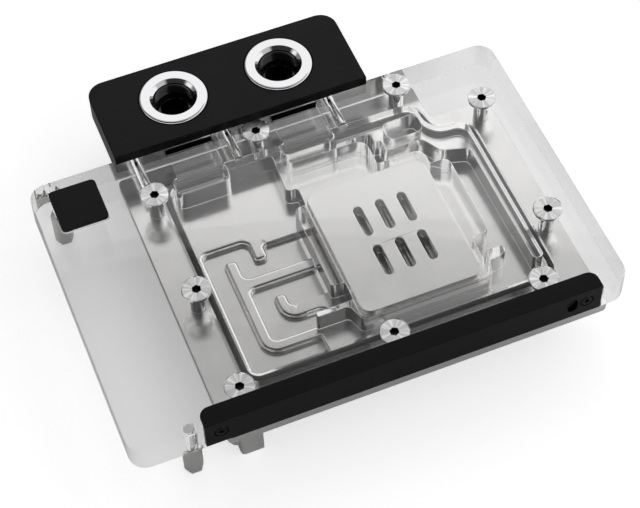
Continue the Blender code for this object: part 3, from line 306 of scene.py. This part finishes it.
def finish(name, colour, metallic, clean, touched, grain_size=0.0, grain_depth=0.0, patches=60.0):
    """A material with handled gloss and, if it has a size in metres, a fine grain."""
    made = bpy.data.materials.new(name)
    made.use_nodes = True
    tree = made.node_tree
    shader = tree.nodes["Principled BSDF"]
    shader.inputs["Base Color"].default_value = (*colour, 1.0)
    shader.inputs["Metallic"].default_value = metallic
    touch = tree.nodes.new("ShaderNodeGroup")
    touch.node_tree = handling
    touch.inputs["Per Metre"].default_value = patches
    touch.inputs["Clean"].default_value = clean
    touch.inputs["Touched"].default_value = touched
    tree.links.new(touch.outputs["Roughness"], shader.inputs["Roughness"])
    if grain_size > 0:
        fine = tree.nodes.new("ShaderNodeGroup")
        fine.node_tree = grain
        fine.inputs["Per Metre"].default_value = 1.0 / grain_size
        bump = tree.nodes.new("ShaderNodeBump")
        bump.inputs["Distance"].default_value = grain_depth
        tree.links.new(fine.outputs["Height"], bump.inputs["Height"])
        tree.links.new(bump.outputs["Normal"], shader.inputs["Normal"])
    return made


# %% [markdown]
# Nickel plate on milled copper: satin, a little warm, with the faint grain of
# the blasting under it. Where a cutter ran along a wall or an edge, the plate is
# bright. The rubber cord is matt black. Acetal and anodised aluminium are both
# black; they hardly reflect, so their specular level is low. Only the thread in
# the ports is freshly cut and keeps its gloss.

# %% Metals, plastics and rubber
NICKEL_TONE = (0.76, 0.755, 0.745)
LOW_SHINE = 0.13
NICKEL = finish("satin nickel plate", NICKEL_TONE, 1.0, 0.21, 0.26, 0.16 * MM, 0.0006 * MM)
MILLED_NICKEL = finish("milled nickel edge", NICKEL_TONE, 1.0, 0.06, 0.09, 0.16 * MM, 0.0003 * MM)
STAND_NICKEL = finish(
    "bright nickel plate", (0.70, 0.695, 0.68), 1.0, 0.16, 0.24, 0.2 * MM, 0.0006 * MM
)
CHROME = finish("polished chrome", (0.66, 0.66, 0.67), 1.0, 0.05, 0.10)
STEEL = finish("turned stainless steel", (0.74, 0.74, 0.73), 1.0, 0.30, 0.36)
# Near-black steel for the inside of the hex sockets: painted shade, since the socket is the same
# steel as the head.
SOCKET_PAINTED_SHADE = finish("socket steel with painted shade", (0.05, 0.05, 0.05), 1.0, 0.35, 0.5)
PLAIN_STEEL = finish("bright steel", (0.70, 0.70, 0.69), 1.0, 0.18, 0.26)
ACETAL = finish("black acetal", (0.004, 0.004, 0.004), 0.0, 0.33, 0.42, 0.25 * MM, 0.004 * MM)
GLOSSY_ACETAL = finish("machined black acetal", (0.008, 0.008, 0.008), 0.0, 0.16, 0.24)
ANODISED = finish(
    "black anodised aluminium", (0.0025, 0.0025, 0.0027), 0.0, 0.30, 0.38, 0.12 * MM, 0.002 * MM
)
RUBBER = finish("black rubber cord", (0.010, 0.010, 0.010), 0.0, 0.45, 0.6, 0.3 * MM, 0.004 * MM)
BOARD = finish("white solder mask", (0.62, 0.62, 0.60), 0.0, 0.35, 0.45, 0.3 * MM, 0.002 * MM)
PHOSPHOR = finish("phosphor lens", (0.75, 0.62, 0.18), 0.0, 0.4, 0.5, 0.2 * MM, 0.002 * MM)
for dull in (ACETAL, ANODISED):
    dull.node_tree.nodes["Principled BSDF"].inputs["Specular IOR Level"].default_value = LOW_SHINE
print("materials:", len(bpy.data.materials))

# %% [markdown]
# The clear cover needs two faces of one plastic. Its flat faces are thin
# boundaries: they let the view through and lay one clean reflection on it. Its
# milled walls are seen from inside the plastic at a low angle, where they turn
# into mirrors. The first is a glass that hardly bends light under a clear coat;
# the second has the full refractive index of acrylic.

# %% Clear acrylic


def acrylic(name, index, coat, tint):
    made = bpy.data.materials.new(name)
    made.use_nodes = True
    tree = made.node_tree
    shader = tree.nodes["Principled BSDF"]
    shader.inputs["Base Color"].default_value = (*tint, 1.0)
    shader.inputs["Transmission Weight"].default_value = 1.0
    shader.inputs["Roughness"].default_value = 0.0
    shader.inputs["IOR"].default_value = index
    shader.inputs["Coat Weight"].default_value = coat
    shader.inputs["Coat Roughness"].default_value = 0.0
    shader.inputs["Coat IOR"].default_value = 1.49
    return made


ACRYLIC_FACE = acrylic("clear acrylic face", 1.03, 1.0, (0.985, 0.985, 0.985))
ACRYLIC_WALL = acrylic("clear acrylic wall", 1.49, 0.0, (0.985, 0.985, 0.985))

# %% [markdown]
# Finer pieces often start as a copy of a CAD solid, because their place is
# already right. The copy's loose triangles are welded and its flat faces become
# single polygons. Then a Bevel modifier rounds the edges, since no real edge is
# perfectly sharp and a rounded one draws a thin line of light. Plan places are
# given as on the CAD drawing: u from the left edge and v from the front edge.

# %% Helpers for pieces
ORIGIN_U = 75.0 * MM
ORIGIN_V = 62.65 * MM
SAME_POINT = 0.002 * MM


def only(piece):
    """Select one object and make it active."""
    bpy.ops.object.select_all(action="DESELECT")
    piece.select_set(True)
    bpy.context.view_layer.objects.active = piece


def apply_all(piece):
    """Apply every modifier, top to bottom."""
    only(piece)
    for mod in list(piece.modifiers):
        bpy.ops.object.modifier_apply(modifier=mod.name)


def welded_copy(node, name):
    """A copy of a CAD node with welded points and one polygon for each flat face."""
    piece = bpy.data.objects.new(name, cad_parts[node].data.copy())
    piece.data.name = name
    scene.collection.objects.link(piece)
    only(piece)
    bpy.ops.mesh.customdata_custom_splitnormals_clear()
    bpy.ops.object.mode_set(mode="EDIT")
    bpy.ops.mesh.select_all(action="SELECT")
    bpy.ops.mesh.remove_doubles(threshold=SAME_POINT)
    bpy.ops.mesh.dissolve_limited(angle_limit=math.radians(0.5))
    bpy.ops.object.mode_set(mode="OBJECT")
    piece.data.materials.clear()
    return piece


def round_edges(piece, width, segments=2, angle=40.0):
    """Bevel every edge that is sharper than the angle."""
    mod = piece.modifiers.new("edge", "BEVEL")
    mod.width = width
    mod.segments = segments
    mod.limit_method = "ANGLE"
    mod.angle_limit = math.radians(angle)
    mod.use_clamp_overlap = False
    apply_all(piece)


def weigh_normals(piece):
    """Keep large flat faces flat up to their rounded edges."""
    mod = piece.modifiers.new("flat", "WEIGHTED_NORMAL")
    mod.keep_sharp = True
    mod.weight = 100
    apply_all(piece)


def done(piece, node, slot, *materials, smooth=35.0):
    """Smooth the piece, give it its finish and let it stand for its CAD node."""
    only(piece)
    bpy.ops.object.shade_smooth_by_angle(angle=math.radians(smooth))
    weigh_normals(piece)
    if materials:
        piece.data.materials.clear()
        for made in materials:
            piece.data.materials.append(made)
    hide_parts(node)
    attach(piece, "root")
    print(piece.name, len(piece.data.polygons), "faces")


def dressed_copy(node, name, width, segments, slot, *materials):
    """A welded copy of a CAD node with rounded edges and its finish."""
    piece = welded_copy(node, name)
    round_edges(piece, width, segments)
    done(piece, node, slot, *materials)


def plan_mm(point):
    """A point's place on the CAD drawing: mm from its left and front edges."""
    return (point.x + ORIGIN_U) / MM, (point.y + ORIGIN_V) / MM


# %% [markdown]
# The shallow channels at the left show as dark bands with a white line in the
# middle. Only polished metal does that: each band is the side of a raised rib,
# and the white line is the far horizon, mirrored where the rounded edge has
# turned half way up. So the channels are milled into the nickel plate, around
# an F-shaped rib, and their upper edges are well rounded. A cutter is made from
# plan outlines: corners first, then an arc in each corner.

# %% Outlines with round corners


def rounded(corners, steps=6):
    """Plan points in metres of a polygon; each corner is (u, v, radius) in mm."""
    made = []
    count = len(corners)
    for i, (u, v, radius) in enumerate(corners):
        here = Vector((u, v))
        before = Vector(corners[i - 1][:2]) - here
        after = Vector(corners[(i + 1) % count][:2]) - here
        if radius == 0:
            made.append(here)
            continue
        before.normalize()
        after.normalize()
        half = before.angle(after) / 2
        reach = radius / math.tan(half)
        middle = here + (before + after).normalized() * (radius / math.sin(half))
        start = here + before * reach - middle
        end = here + after * reach - middle
        sweep = start.angle_signed(end)
        for k in range(steps + 1):
            a = -sweep * k / steps
            made.append(middle + Vector((
                start.x * math.cos(a) - start.y * math.sin(a),
                start.x * math.sin(a) + start.y * math.cos(a),
            )))
    return [(p.x * MM - ORIGIN_U, p.y * MM - ORIGIN_V) for p in made]


def prism(name, points, low, high):
    """A closed prism: the outline is filled and extruded upwards."""
    mesh = bpy.data.meshes.new(name)
    count = len(points)
    loop = [(i, (i + 1) % count) for i in range(count)]
    mesh.from_pydata([(x, y, low) for x, y in points], loop, [])
    piece = bpy.data.objects.new(name, mesh)
    scene.collection.objects.link(piece)
    only(piece)
    bpy.ops.object.mode_set(mode="EDIT")
    bpy.ops.mesh.select_all(action="SELECT")
    bpy.ops.mesh.edge_face_add()
    bpy.ops.mesh.extrude_region_move(TRANSFORM_OT_translate={"value": (0, 0, high - low)})
    bpy.ops.mesh.select_all(action="SELECT")
    bpy.ops.mesh.normals_make_consistent(inside=False)
    bpy.ops.object.mode_set(mode="OBJECT")
    return piece


def cut_away(piece, tool):
    """Cut the tool out of the piece with an exact Boolean, then remove the tool."""
    cutter = piece.modifiers.new("cut", "BOOLEAN")
    cutter.operation = "DIFFERENCE"
    cutter.solver = "EXACT"
    cutter.object = tool
    apply_all(piece)
    bpy.data.objects.remove(tool, do_unlink=True)


def pick_edges(piece, wanted):
    """Select the edges for which wanted(edge's two points, face normals) is true."""
    only(piece)
    bpy.ops.object.mode_set(mode="EDIT")
    bpy.ops.mesh.select_mode(type="EDGE")
    bpy.ops.mesh.select_all(action="DESELECT")
    bpy.ops.object.mode_set(mode="OBJECT")
    mesh = piece.data
    faces_of = {edge.key: [] for edge in mesh.edges}
    for face in mesh.polygons:
        for key in face.edge_keys:
            faces_of[key].append(face.normal)
    count = 0
    for edge in mesh.edges:
        ends = [mesh.vertices[i].co for i in edge.vertices]
        if wanted(ends, faces_of[edge.key]):
            edge.select = True
            count += 1
    return count


# %% [markdown]
# The field around the rib is one outline; its notches are the bars that stand
# up at the back and the hooked rib in the middle. The F is cut out of the
# cutter first, so it stays standing in the plate.

# %% Channels in the plate
JET_L = 75.3
MID_V = 43.7
FLOOR_LOW = 11.2 * MM
PLATE_UP = 13.2 * MM
CHANNEL_ROUND = 1.15 * MM
LEVEL = 0.01 * MM
FLAT = 0.995
field = rounded([
    (41.5, 15.9, 2.5),
    (JET_L - 12.1, 15.9, 0.4),
    (JET_L - 12.1, MID_V - 20.4, 0),
    (JET_L - 6.8, MID_V - 20.4, 0),
    (JET_L - 6.8, MID_V - 13.5, 2.2),
    (JET_L - 19.6, MID_V - 13.5, 5.2),
    (JET_L - 19.6, MID_V - 4.1, 1.4),
    (JET_L - 15.8, MID_V - 4.1, 1.4),
    (JET_L - 15.8, MID_V - 9.1, 2.0),
    (JET_L + 1.2, MID_V - 9.1, 0),
    (JET_L + 1.2, MID_V + 14.4, 0),
    (JET_L - 15.7, MID_V + 14.4, 1.3),
    (JET_L - 15.7, MID_V + 9.5, 1.3),
    (JET_L - 19.9, MID_V + 9.5, 1.3),
    (JET_L - 19.9, MID_V + 17.3, 2.2),
    (41.5, MID_V + 17.3, 1.6),
])
rib = rounded([
    (JET_L - 28.9, MID_V + 12.2, 1.3),
    (JET_L - 24.9, MID_V + 12.2, 1.3),
    (JET_L - 24.9, MID_V + 4.7, 2.0),
    (JET_L - 3.6, MID_V + 4.7, 1.4),
    (JET_L - 3.6, MID_V + 0.4, 1.4),
    (JET_L - 24.9, MID_V + 0.4, 1.6),
    (JET_L - 24.9, MID_V - 18.4, 1.8),
    (JET_L - 5.0, MID_V - 18.4, 0),
    (JET_L - 5.0, MID_V - 22.4, 0),
    (JET_L - 28.9, MID_V - 22.4, 5.5),
])
channel = prism("channel_cutter", field, FLOOR_LOW, PLATE_UP + 2 * MM)
cut_away(channel, prism("rib_cutter", rib, FLOOR_LOW - 1 * MM, PLATE_UP + 3 * MM))
print("channel cutter:", len(channel.data.polygons), "faces")

# %% [markdown]
# The cold plate is one milled piece of copper. Its copy gets the channels,
# with upper edges rounded by 1.15 mm, and small rounds everywhere else; the
# lands, posts and fins come with it. The channels' walls take the second, milled
# nickel, apart from those that face left, which are dull in the picture.

# %% Cold plate
plate = welded_copy("cold_plate", "milled_base")
cut_away(plate, channel)


def at_channel(ends, normals):
    """True for an upper edge of the channels: a level face meets an upright one."""
    level = all(abs(p.z - PLATE_UP) < LEVEL for p in ends)
    inside = all(41.0 < plan_mm(p)[0] < 76.5 and 14.65 < plan_mm(p)[1] < 61.65 for p in ends)
    if not level or not inside or len(normals) != 2:
        return False
    flat = sorted(abs(n.z) for n in normals)
    return flat[0] < 0.1 and flat[1] > 0.99


picked = pick_edges(plate, at_channel)
bpy.ops.object.mode_set(mode="EDIT")
bpy.ops.mesh.bevel(offset=CHANNEL_ROUND, segments=8, profile=0.5, clamp_overlap=False)
bpy.ops.object.mode_set(mode="OBJECT")
print("channel edges rounded:", picked)
round_edges(plate, 0.15 * MM, 2, 50)
done(plate, "cold_plate", "nickel", NICKEL, MILLED_NICKEL)
milled = 0
for face in plate.data.polygons:
    u, v = plan_mm(face.center)
    bright = abs(face.normal.z) <= FLAT and face.normal.x >= -0.6
    if bright and 39.0 < u < 79.0 and 13.65 < v < 63.65:
        face.material_index = 1
        milled += 1
print("milled channel faces:", milled)

# %% [markdown]
# The jet plate sits over the fins. Its raised middle and lower rim both have
# soft edges that show as thin bright lines in the picture.

# %% Jet plate
jets = welded_copy("jet_plate", "raised_jet_plate")
round_edges(jets, 0.28 * MM, 4)
done(jets, "jet_plate", "nickel", NICKEL, MILLED_NICKEL)
for face in jets.data.polygons:
    if abs(face.normal.z) < FLAT:
        face.material_index = 1
print("jet plate:", len(jets.data.polygons), "faces")

# %% [markdown]
# The clear cover is the piece that makes the block. Its water ways are milled
# from below with a cutter whose corner is slightly round, so each pocket's
# ceiling meets its wall in a small fillet. The fillets bend light hard and draw
# the fine white lines round every pocket.

# %% Clear cover
UNDERSIDE = 13.5 * MM
DEEP_CEILINGS = [UNDERSIDE + depth for depth in (6.5 * MM, 7.1 * MM)]
POCKETS_UP = 20.7 * MM


def at_ceiling(heights):
    """A test for edges between a pocket's ceiling, at one of the heights, and its wall."""
    def test(ends, normals):
        level = any(all(abs(p.z - z) < LEVEL for p in ends) for z in heights)
        if not level or len(normals) != 2:
            return False
        flat = sorted(abs(n.z) for n in normals)
        return flat[0] < 0.1 and flat[1] > 0.99
    return test


cover = welded_copy("acrylic_cover", "clear_cover")
moved = 0
for point in cover.data.vertices:
    for old, new in ((15.4, 13.31), (13.85, 13.305), (13.5, 13.3)):
        if abs(point.co.z - old * MM) < LEVEL:
            point.co.z = new * MM
            moved += 1
            break
print("underside points moved:", moved)

# %% [markdown]
# The picture puts some pocket walls a little elsewhere than the CAD part does.
# Each row names the points inside a small box of the drawing, by their u and v
# in mm, and how far they go; a wall's foot and ceiling move together, so the
# pocket stays upright. The first four rows are the front plenum, the next three
# part the small bay from it, then come the return way and the left port pocket.

# %% Pocket walls
WALL_SHIFTS = [
    ((63.3, 69.5), (21.0, 21.9), (0.0, 2.5)),
    ((70.3, 72.2), (20.0, 21.3), (1.3, 2.5)),
    ((73.6, 75.4), (15.8, 17.0), (0.9, 2.1)),
    ((120.4, 121.8), (15.8, 16.4), (-6.4, 2.2)),
    ((122.0, 122.2), (16.6, 16.8), (-5.5, 5.9)),
    ((122.3, 122.45), (17.2, 17.4), (-2.9, 5.5)),
    ((122.45, 122.6), (17.8, 18.0), (-0.8, 5.9)),
    ((127.3, 129.0), (18.1, 19.8), (1.0, 0.0)),
    ((125.9, 127.5), (61.0, 63.2), (0.8, 0.0)),
    ((41.2, 58.2), (80.9, 83.25), (0.0, -1.9)),
]
shifted = 0
for point in cover.data.vertices:
    u, v = plan_mm(point.co)
    if point.co.z > POCKETS_UP:
        continue
    for across, along, (du, dv) in WALL_SHIFTS:
        if across[0] < u < across[1] and along[0] < v < along[1]:
            point.co.x += du * MM
            point.co.y += dv * MM
            shifted += 1
            break
print("wall points set to the picture:", shifted)
picked = pick_edges(cover, at_ceiling(DEEP_CEILINGS))
bpy.ops.object.mode_set(mode="EDIT")
bpy.ops.mesh.bevel(offset=0.22 * MM, segments=3, profile=0.5, clamp_overlap=False)
bpy.ops.object.mode_set(mode="OBJECT")
print("ceiling edges rounded:", picked)

# %% [markdown]
# Each face of the cover gets one of the two acrylics by its normal: level faces
# are thin boundaries, and everything that stands up is a wall.

# %% Cover faces and walls
only(cover)
bpy.ops.object.shade_smooth_by_angle(angle=math.radians(35))
weigh_normals(cover)
cover.data.materials.append(ACRYLIC_FACE)
cover.data.materials.append(ACRYLIC_WALL)
walls = 0
for face in cover.data.polygons:
    if abs(face.normal.z) < FLAT:
        face.material_index = 1
        walls += 1
print("cover:", len(cover.data.polygons), "faces,", walls, "of them walls")
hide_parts("acrylic_cover")
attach(cover, "root")

# %% [markdown]
# The gasket is a rubber cord. The CAD solid has few sides, so its copy is
# subdivided until it is round. The two cords between terminal and cover are
# hidden, and are made the same way.

# %% Gasket
for node, name in (
    ("main_gasket", "gasket_cord"),
    ("port_gasket_left", "port_cord_left"),
    ("port_gasket_right", "port_cord_right"),
):
    cord = welded_copy(node, name)
    smoother = cord.modifiers.new("round", "SUBSURF")
    smoother.levels = 1
    smoother.render_levels = 1
    apply_all(cord)
    done(cord, node, "rubber", RUBBER)

# %% [markdown]
# The terminal is milled from black acetal. Its edges are broken by hand, which
# leaves a narrow round that catches the light along the top.

# %% Terminal block
dressed_copy("terminal_block", "acetal_terminal", 0.15 * MM, 2, "acetal", ACETAL)

# %% [markdown]
# Turned pieces start as a profile: an edge chain that the Spin operator turns
# round an axis. A small round corner in a profile is a row of points on an arc.

# %% Helper for turned pieces


def turned(name, profile, centre, steps=64, axis=(0, 0, 1)):
    """Spin a profile of (radius, height) round an axis through centre."""
    bpy.ops.object.select_all(action="DESELECT")
    mesh = bpy.data.meshes.new(name)
    points = [(centre[0] + r, centre[1], centre[2] + h) for r, h in profile]
    chain = [(i, i + 1) for i in range(len(points) - 1)]
    mesh.from_pydata(points, chain, [])
    piece = bpy.data.objects.new(name, mesh)
    scene.collection.objects.link(piece)
    only(piece)
    bpy.ops.object.mode_set(mode="EDIT")
    bpy.ops.mesh.select_all(action="SELECT")
    bpy.ops.mesh.spin(steps=steps, angle=math.radians(360), center=centre, axis=axis)
    bpy.ops.mesh.select_all(action="SELECT")
    bpy.ops.mesh.remove_doubles(threshold=SAME_POINT)
    bpy.ops.mesh.normals_make_consistent(inside=False)
    bpy.ops.object.mode_set(mode="OBJECT")
    return piece


def arc(radius, height, size, start, end, steps=5):
    """Points of a small round corner, centre (radius, height), angles in degrees."""
    made = []
    for i in range(steps + 1):
        angle = math.radians(start + (end - start) * i / steps)
        made.append((radius + size * math.cos(angle), height + size * math.sin(angle)))
    return made


# %% [markdown]
# Each ring has a flat top, a round outer edge and a straight polished bevel
# that falls into the bore.

# %% Port rings
RING_WALL = 4.15 * MM
RING_BEVEL = 1.1 * MM
RING_ROUND = 0.6 * MM
for side in ("left", "right"):
    low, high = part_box("port_ring_" + side)
    middle = (low + high) / 2
    outer = (high.x - low.x) / 2
    top = high.z - low.z
    inner = outer - RING_WALL
    profile = [(inner, 0.0), (inner, top - RING_BEVEL), (inner + 0.85 * MM, top - 0.1 * MM)]
    profile += arc(inner + 1.0 * MM, top - 0.14 * MM, 0.14 * MM, 135, 90, 3)
    profile += [(outer - RING_ROUND - 0.15 * MM, top)]
    profile += arc(outer - RING_ROUND, top - RING_ROUND, RING_ROUND, 76, 0, 7)
    profile += [(outer, 0.0), (inner, 0.0)]
    ring = turned("polished_ring_" + side, profile, (middle.x, middle.y, low.z), 96)
    done(ring, "port_ring_" + side, "chrome", CHROME, smooth=28)

# %% [markdown]
# Each port has a G1/4 thread, 1.34 mm from crest to crest, and a seat at its
# bottom. The CAD bore is plain, so a thin threaded liner is turned into it: the
# thread's flanks catch a little light and make the bore read as deep.

# %% Threaded liners
PITCH = 1.337 * MM
LINER_DEEP = 4.08 * MM
LINER_OUT = 6.33 * MM
ROOT = 6.28 * MM
CREST = 5.72 * MM
SEAT_IN = 4.2 * MM
SEAT_T = 0.7 * MM
BELOW_RING = 0.02 * MM
turns = int(LINER_DEEP / PITCH)
profile = [(LINER_OUT, 0.0)]
for k in range(turns):
    profile += [(ROOT, -(k + 0.08) * PITCH), (CREST, -(k + 0.5) * PITCH)]
    profile += [(ROOT, -(k + 0.92) * PITCH)]
profile += [(CREST, -turns * PITCH), (CREST, -LINER_DEEP)]
profile += [(SEAT_IN + 0.1 * MM, -LINER_DEEP - 0.04 * MM), (SEAT_IN, -LINER_DEEP - 0.16 * MM)]
profile += [(SEAT_IN, -LINER_DEEP - SEAT_T), (LINER_OUT, -LINER_DEEP - SEAT_T), (LINER_OUT, 0.0)]
for side in ("left", "right"):
    low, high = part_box("port_ring_" + side)
    middle = (low + high) / 2
    start = (middle.x, middle.y, low.z - BELOW_RING)
    liner = turned("port_thread_" + side, profile, start, 72)
    done(liner, "terminal_block", "acetal", GLOSSY_ACETAL, smooth=30)

# %% [markdown]
# A turned face has fine circles in it, so its highlight stretches into wedges. The UV map runs
# round the screw and the shader's tangent follows it. Lighter and darker spokes are painted into
# the steel's colour as painted highlight streaks: a noise that changes with the angle and hardly
# with the radius.

# %% Steel with painted highlight spokes
steel_tree = STEEL.node_tree
steel_shader = steel_tree.nodes["Principled BSDF"]
steel_shader.inputs["Anisotropic"].default_value = 0.85
steel_shader.inputs["Anisotropic Rotation"].default_value = 0.25
around = steel_tree.nodes.new("ShaderNodeTangent")
around.direction_type = "UV_MAP"
around.uv_map = "turning"
steel_tree.links.new(around.outputs["Tangent"], steel_shader.inputs["Tangent"])
spokes, spokes_in, spokes_out = effect(
    "painted_highlight_spokes", {"Count": 14.0, "Low": 0.55, "High": 0.85}, ["Tone"]
)
lathe = spokes.nodes.new("ShaderNodeUVMap")
lathe.uv_map = "turning"
stretch = spokes.nodes.new("ShaderNodeSeparateXYZ")
spokes.links.new(lathe.outputs["UV"], stretch.inputs[0])
fan = spokes.nodes.new("ShaderNodeCombineXYZ")
across = math_node(spokes, "MULTIPLY", stretch.outputs["X"], spokes_in["Count"])
outward = math_node(spokes, "MULTIPLY", stretch.outputs["Y"], 0.4)
spokes.links.new(across, fan.inputs["X"])
spokes.links.new(outward, fan.inputs["Y"])
highlight_streak = spokes.nodes.new("ShaderNodeTexNoise")
spokes.links.new(fan.outputs[0], highlight_streak.inputs["Vector"])
highlight_streak.inputs["Scale"].default_value = 1.0
highlight_streak.inputs["Detail"].default_value = 4.0
tone = ramp_node(spokes, highlight_streak.outputs["Fac"], 0.42, 0.68)
spread = math_node(spokes, "SUBTRACT", spokes_in["High"], spokes_in["Low"])
shade = math_node(spokes, "MULTIPLY_ADD", tone, spread, spokes_in["Low"])
spokes.links.new(shade, spokes_out["Tone"])
painted_highlight_look = steel_tree.nodes.new("ShaderNodeGroup")
painted_highlight_look.node_tree = spokes
painted_highlight_look.inputs["Low"].default_value = 0.62
painted_highlight_look.inputs["High"].default_value = 1.0
# The spokes' tone becomes the steel's colour: painted highlight streaks.
steel_tree.links.new(painted_highlight_look.outputs["Tone"], steel_shader.inputs["Base Color"])


def wrap_round(piece, axis_x, axis_y):
    """A UV map whose first direction runs round the turning axis."""
    layers = piece.data.uv_layers
    layer = layers.get("turning") or layers.new(name="turning")
    for face in piece.data.polygons:
        angles = []
        for corner in face.loop_indices:
            p = piece.data.vertices[piece.data.loops[corner].vertex_index].co
            a, b = (p.x - axis_x, p.y - axis_y)
            angles.append(math.atan2(b, a) if math.hypot(a, b) > 0.001 * MM else None)
        known = [a for a in angles if a is not None]
        base = known[0] if known else 0.0
        for corner, angle in zip(face.loop_indices, angles):
            p = piece.data.vertices[piece.data.loops[corner].vertex_index].co
            turn = base
            if angle is not None:
                turn = base + (angle - base + math.pi) % (2 * math.pi) - math.pi
            radius = math.hypot(p.x - axis_x, p.y - axis_y)
            layer.data[corner].uv = (turn / (2 * math.pi), (radius + p.z) / (10 * MM))


# %% [markdown]
# Each cover screw is a countersunk screw with a hex socket. One master is
# turned, its socket is cut with a six sided prism, and the others are copies,
# each turned a little further, as screws end up when they are tightened.

# %% Cover screws
HEAD_R = 4.15 * MM
SHANK_R = 2.0 * MM
SCREW_LONG = 12.4 * MM
RIM = 0.3 * MM
SOCKET_ACROSS = 2.5 * MM
SOCKET_DEEP = 1.6 * MM
NEXT_TURN = 37.0
cone_end = -RIM - (HEAD_R - SHANK_R)


def hex_socket(piece, across, depth):
    """Cut a hex socket into the top of a piece that stands on the origin's axis."""
    radius = across / 2 / math.cos(math.pi / 6)
    bpy.ops.object.select_all(action="DESELECT")
    bpy.ops.mesh.primitive_cylinder_add(vertices=6, radius=radius, depth=2 * depth)
    tool = bpy.context.object
    tool.data.transform(Matrix.Rotation(math.radians(30.0), 4, "Z"))
    cut_away(piece, tool)


screw_profile = [(0.0, 0.0), (HEAD_R - 0.1 * MM, 0.0)]
screw_profile += arc(HEAD_R - 0.1 * MM, -0.1 * MM, 0.1 * MM, 60, 0, 2)
screw_profile += [(HEAD_R, -RIM), (SHANK_R, cone_end), (SHANK_R, -SCREW_LONG + 0.5 * MM)]
screw_profile += [(SHANK_R - 0.5 * MM, -SCREW_LONG), (0.0, -SCREW_LONG)]
master = turned("cover_screw_master", screw_profile, (0, 0, 0), 64)
hex_socket(master, SOCKET_ACROSS, SOCKET_DEEP)
round_edges(master, 0.04 * MM, 1, 50)
wrap_round(master, 0.0, 0.0)
count = 0
for node in sorted(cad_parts):
    if not node.startswith("cover_screw_"):
        continue
    low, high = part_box(node)
    screw = bpy.data.objects.new(node.replace("cover_screw", "socket_screw"), master.data.copy())
    scene.collection.objects.link(screw)
    middle = (low + high) / 2
    turn = Matrix.Rotation(math.radians(NEXT_TURN * count), 4, "Z")
    shift = Matrix.Translation((middle.x, middle.y, high.z))
    screw.data.transform(shift @ turn)
    done(screw, node, "steel", STEEL, SOCKET_PAINTED_SHADE, smooth=30)
    # Faces inside the socket take the near-black steel, as painted shade.
    for face in screw.data.polygons:
        from_axis = math.hypot(face.center.x - middle.x, face.center.y - middle.y)
        below_top = high.z - face.center.z
        if from_axis < 1.6 * MM and 0.05 * MM < below_top < 1.7 * MM:
            face.material_index = 1
    count += 1
bpy.data.objects.remove(master, do_unlink=True)
print("cover screws:", count)

# %% [markdown]
# The bar and the badge are anodised aluminium, and the standoffs are plated brass. They only need
# rounded edges. Behind the slot at the bar's right end stands a small black box, painted shade that
# keeps the slot dark.

# %% Light bar, badge and standoffs
dressed_copy("light_bar", "anodised_bar", 0.12 * MM, 2, "anodised", ANODISED)
dressed_copy("badge_plate", "plain_badge", 0.06 * MM, 2, "anodised", ANODISED)
for spot in ("front", "back"):
    dressed_copy("standoff_" + spot, "hex_standoff_" + spot, 0.08 * MM, 2, "nickel", STAND_NICKEL)
bpy.ops.object.select_all(action="DESELECT")
# A black box behind the bar's slot: painted shade.
socket = prism("slot_shade_box", rounded([
    (129.9, 1.6, 0.3), (133.7, 1.6, 0.3), (133.7, 3.0, 0.3), (129.9, 3.0, 0.3),
]), 15.6 * MM, 21.8 * MM)
round_edges(socket, 0.15 * MM, 2)
done(socket, "light_strip", "rubber", RUBBER)

# %% [markdown]
# The rest is small or half hidden: the bar's two screws, the board with its
# lights, and the three long screws that hold the terminal. Their tips show as
# bright lines in the clear cover.

# %% Fixings and light strip
for side in ("left", "right"):
    dressed_copy("bar_screw_" + side, "bar_fixing_" + side, 0.04 * MM, 1, "anodised", ANODISED)
dressed_copy("light_strip", "led_strip", 0.05 * MM, 1, "board", BOARD, PHOSPHOR)
for spot in ("left", "middle", "right"):
    dressed_copy("terminal_screw_" + spot, "cap_screw_" + spot, 0.06 * MM, 2, "steel", PLAIN_STEEL)

# %% [markdown]
# The last cell prints the box of everything that renders, in mm.

# %% Sizes and finish
low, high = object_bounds()
print("visual box, mm:", [round(v / MM, 2) for v in (*low, *high)])
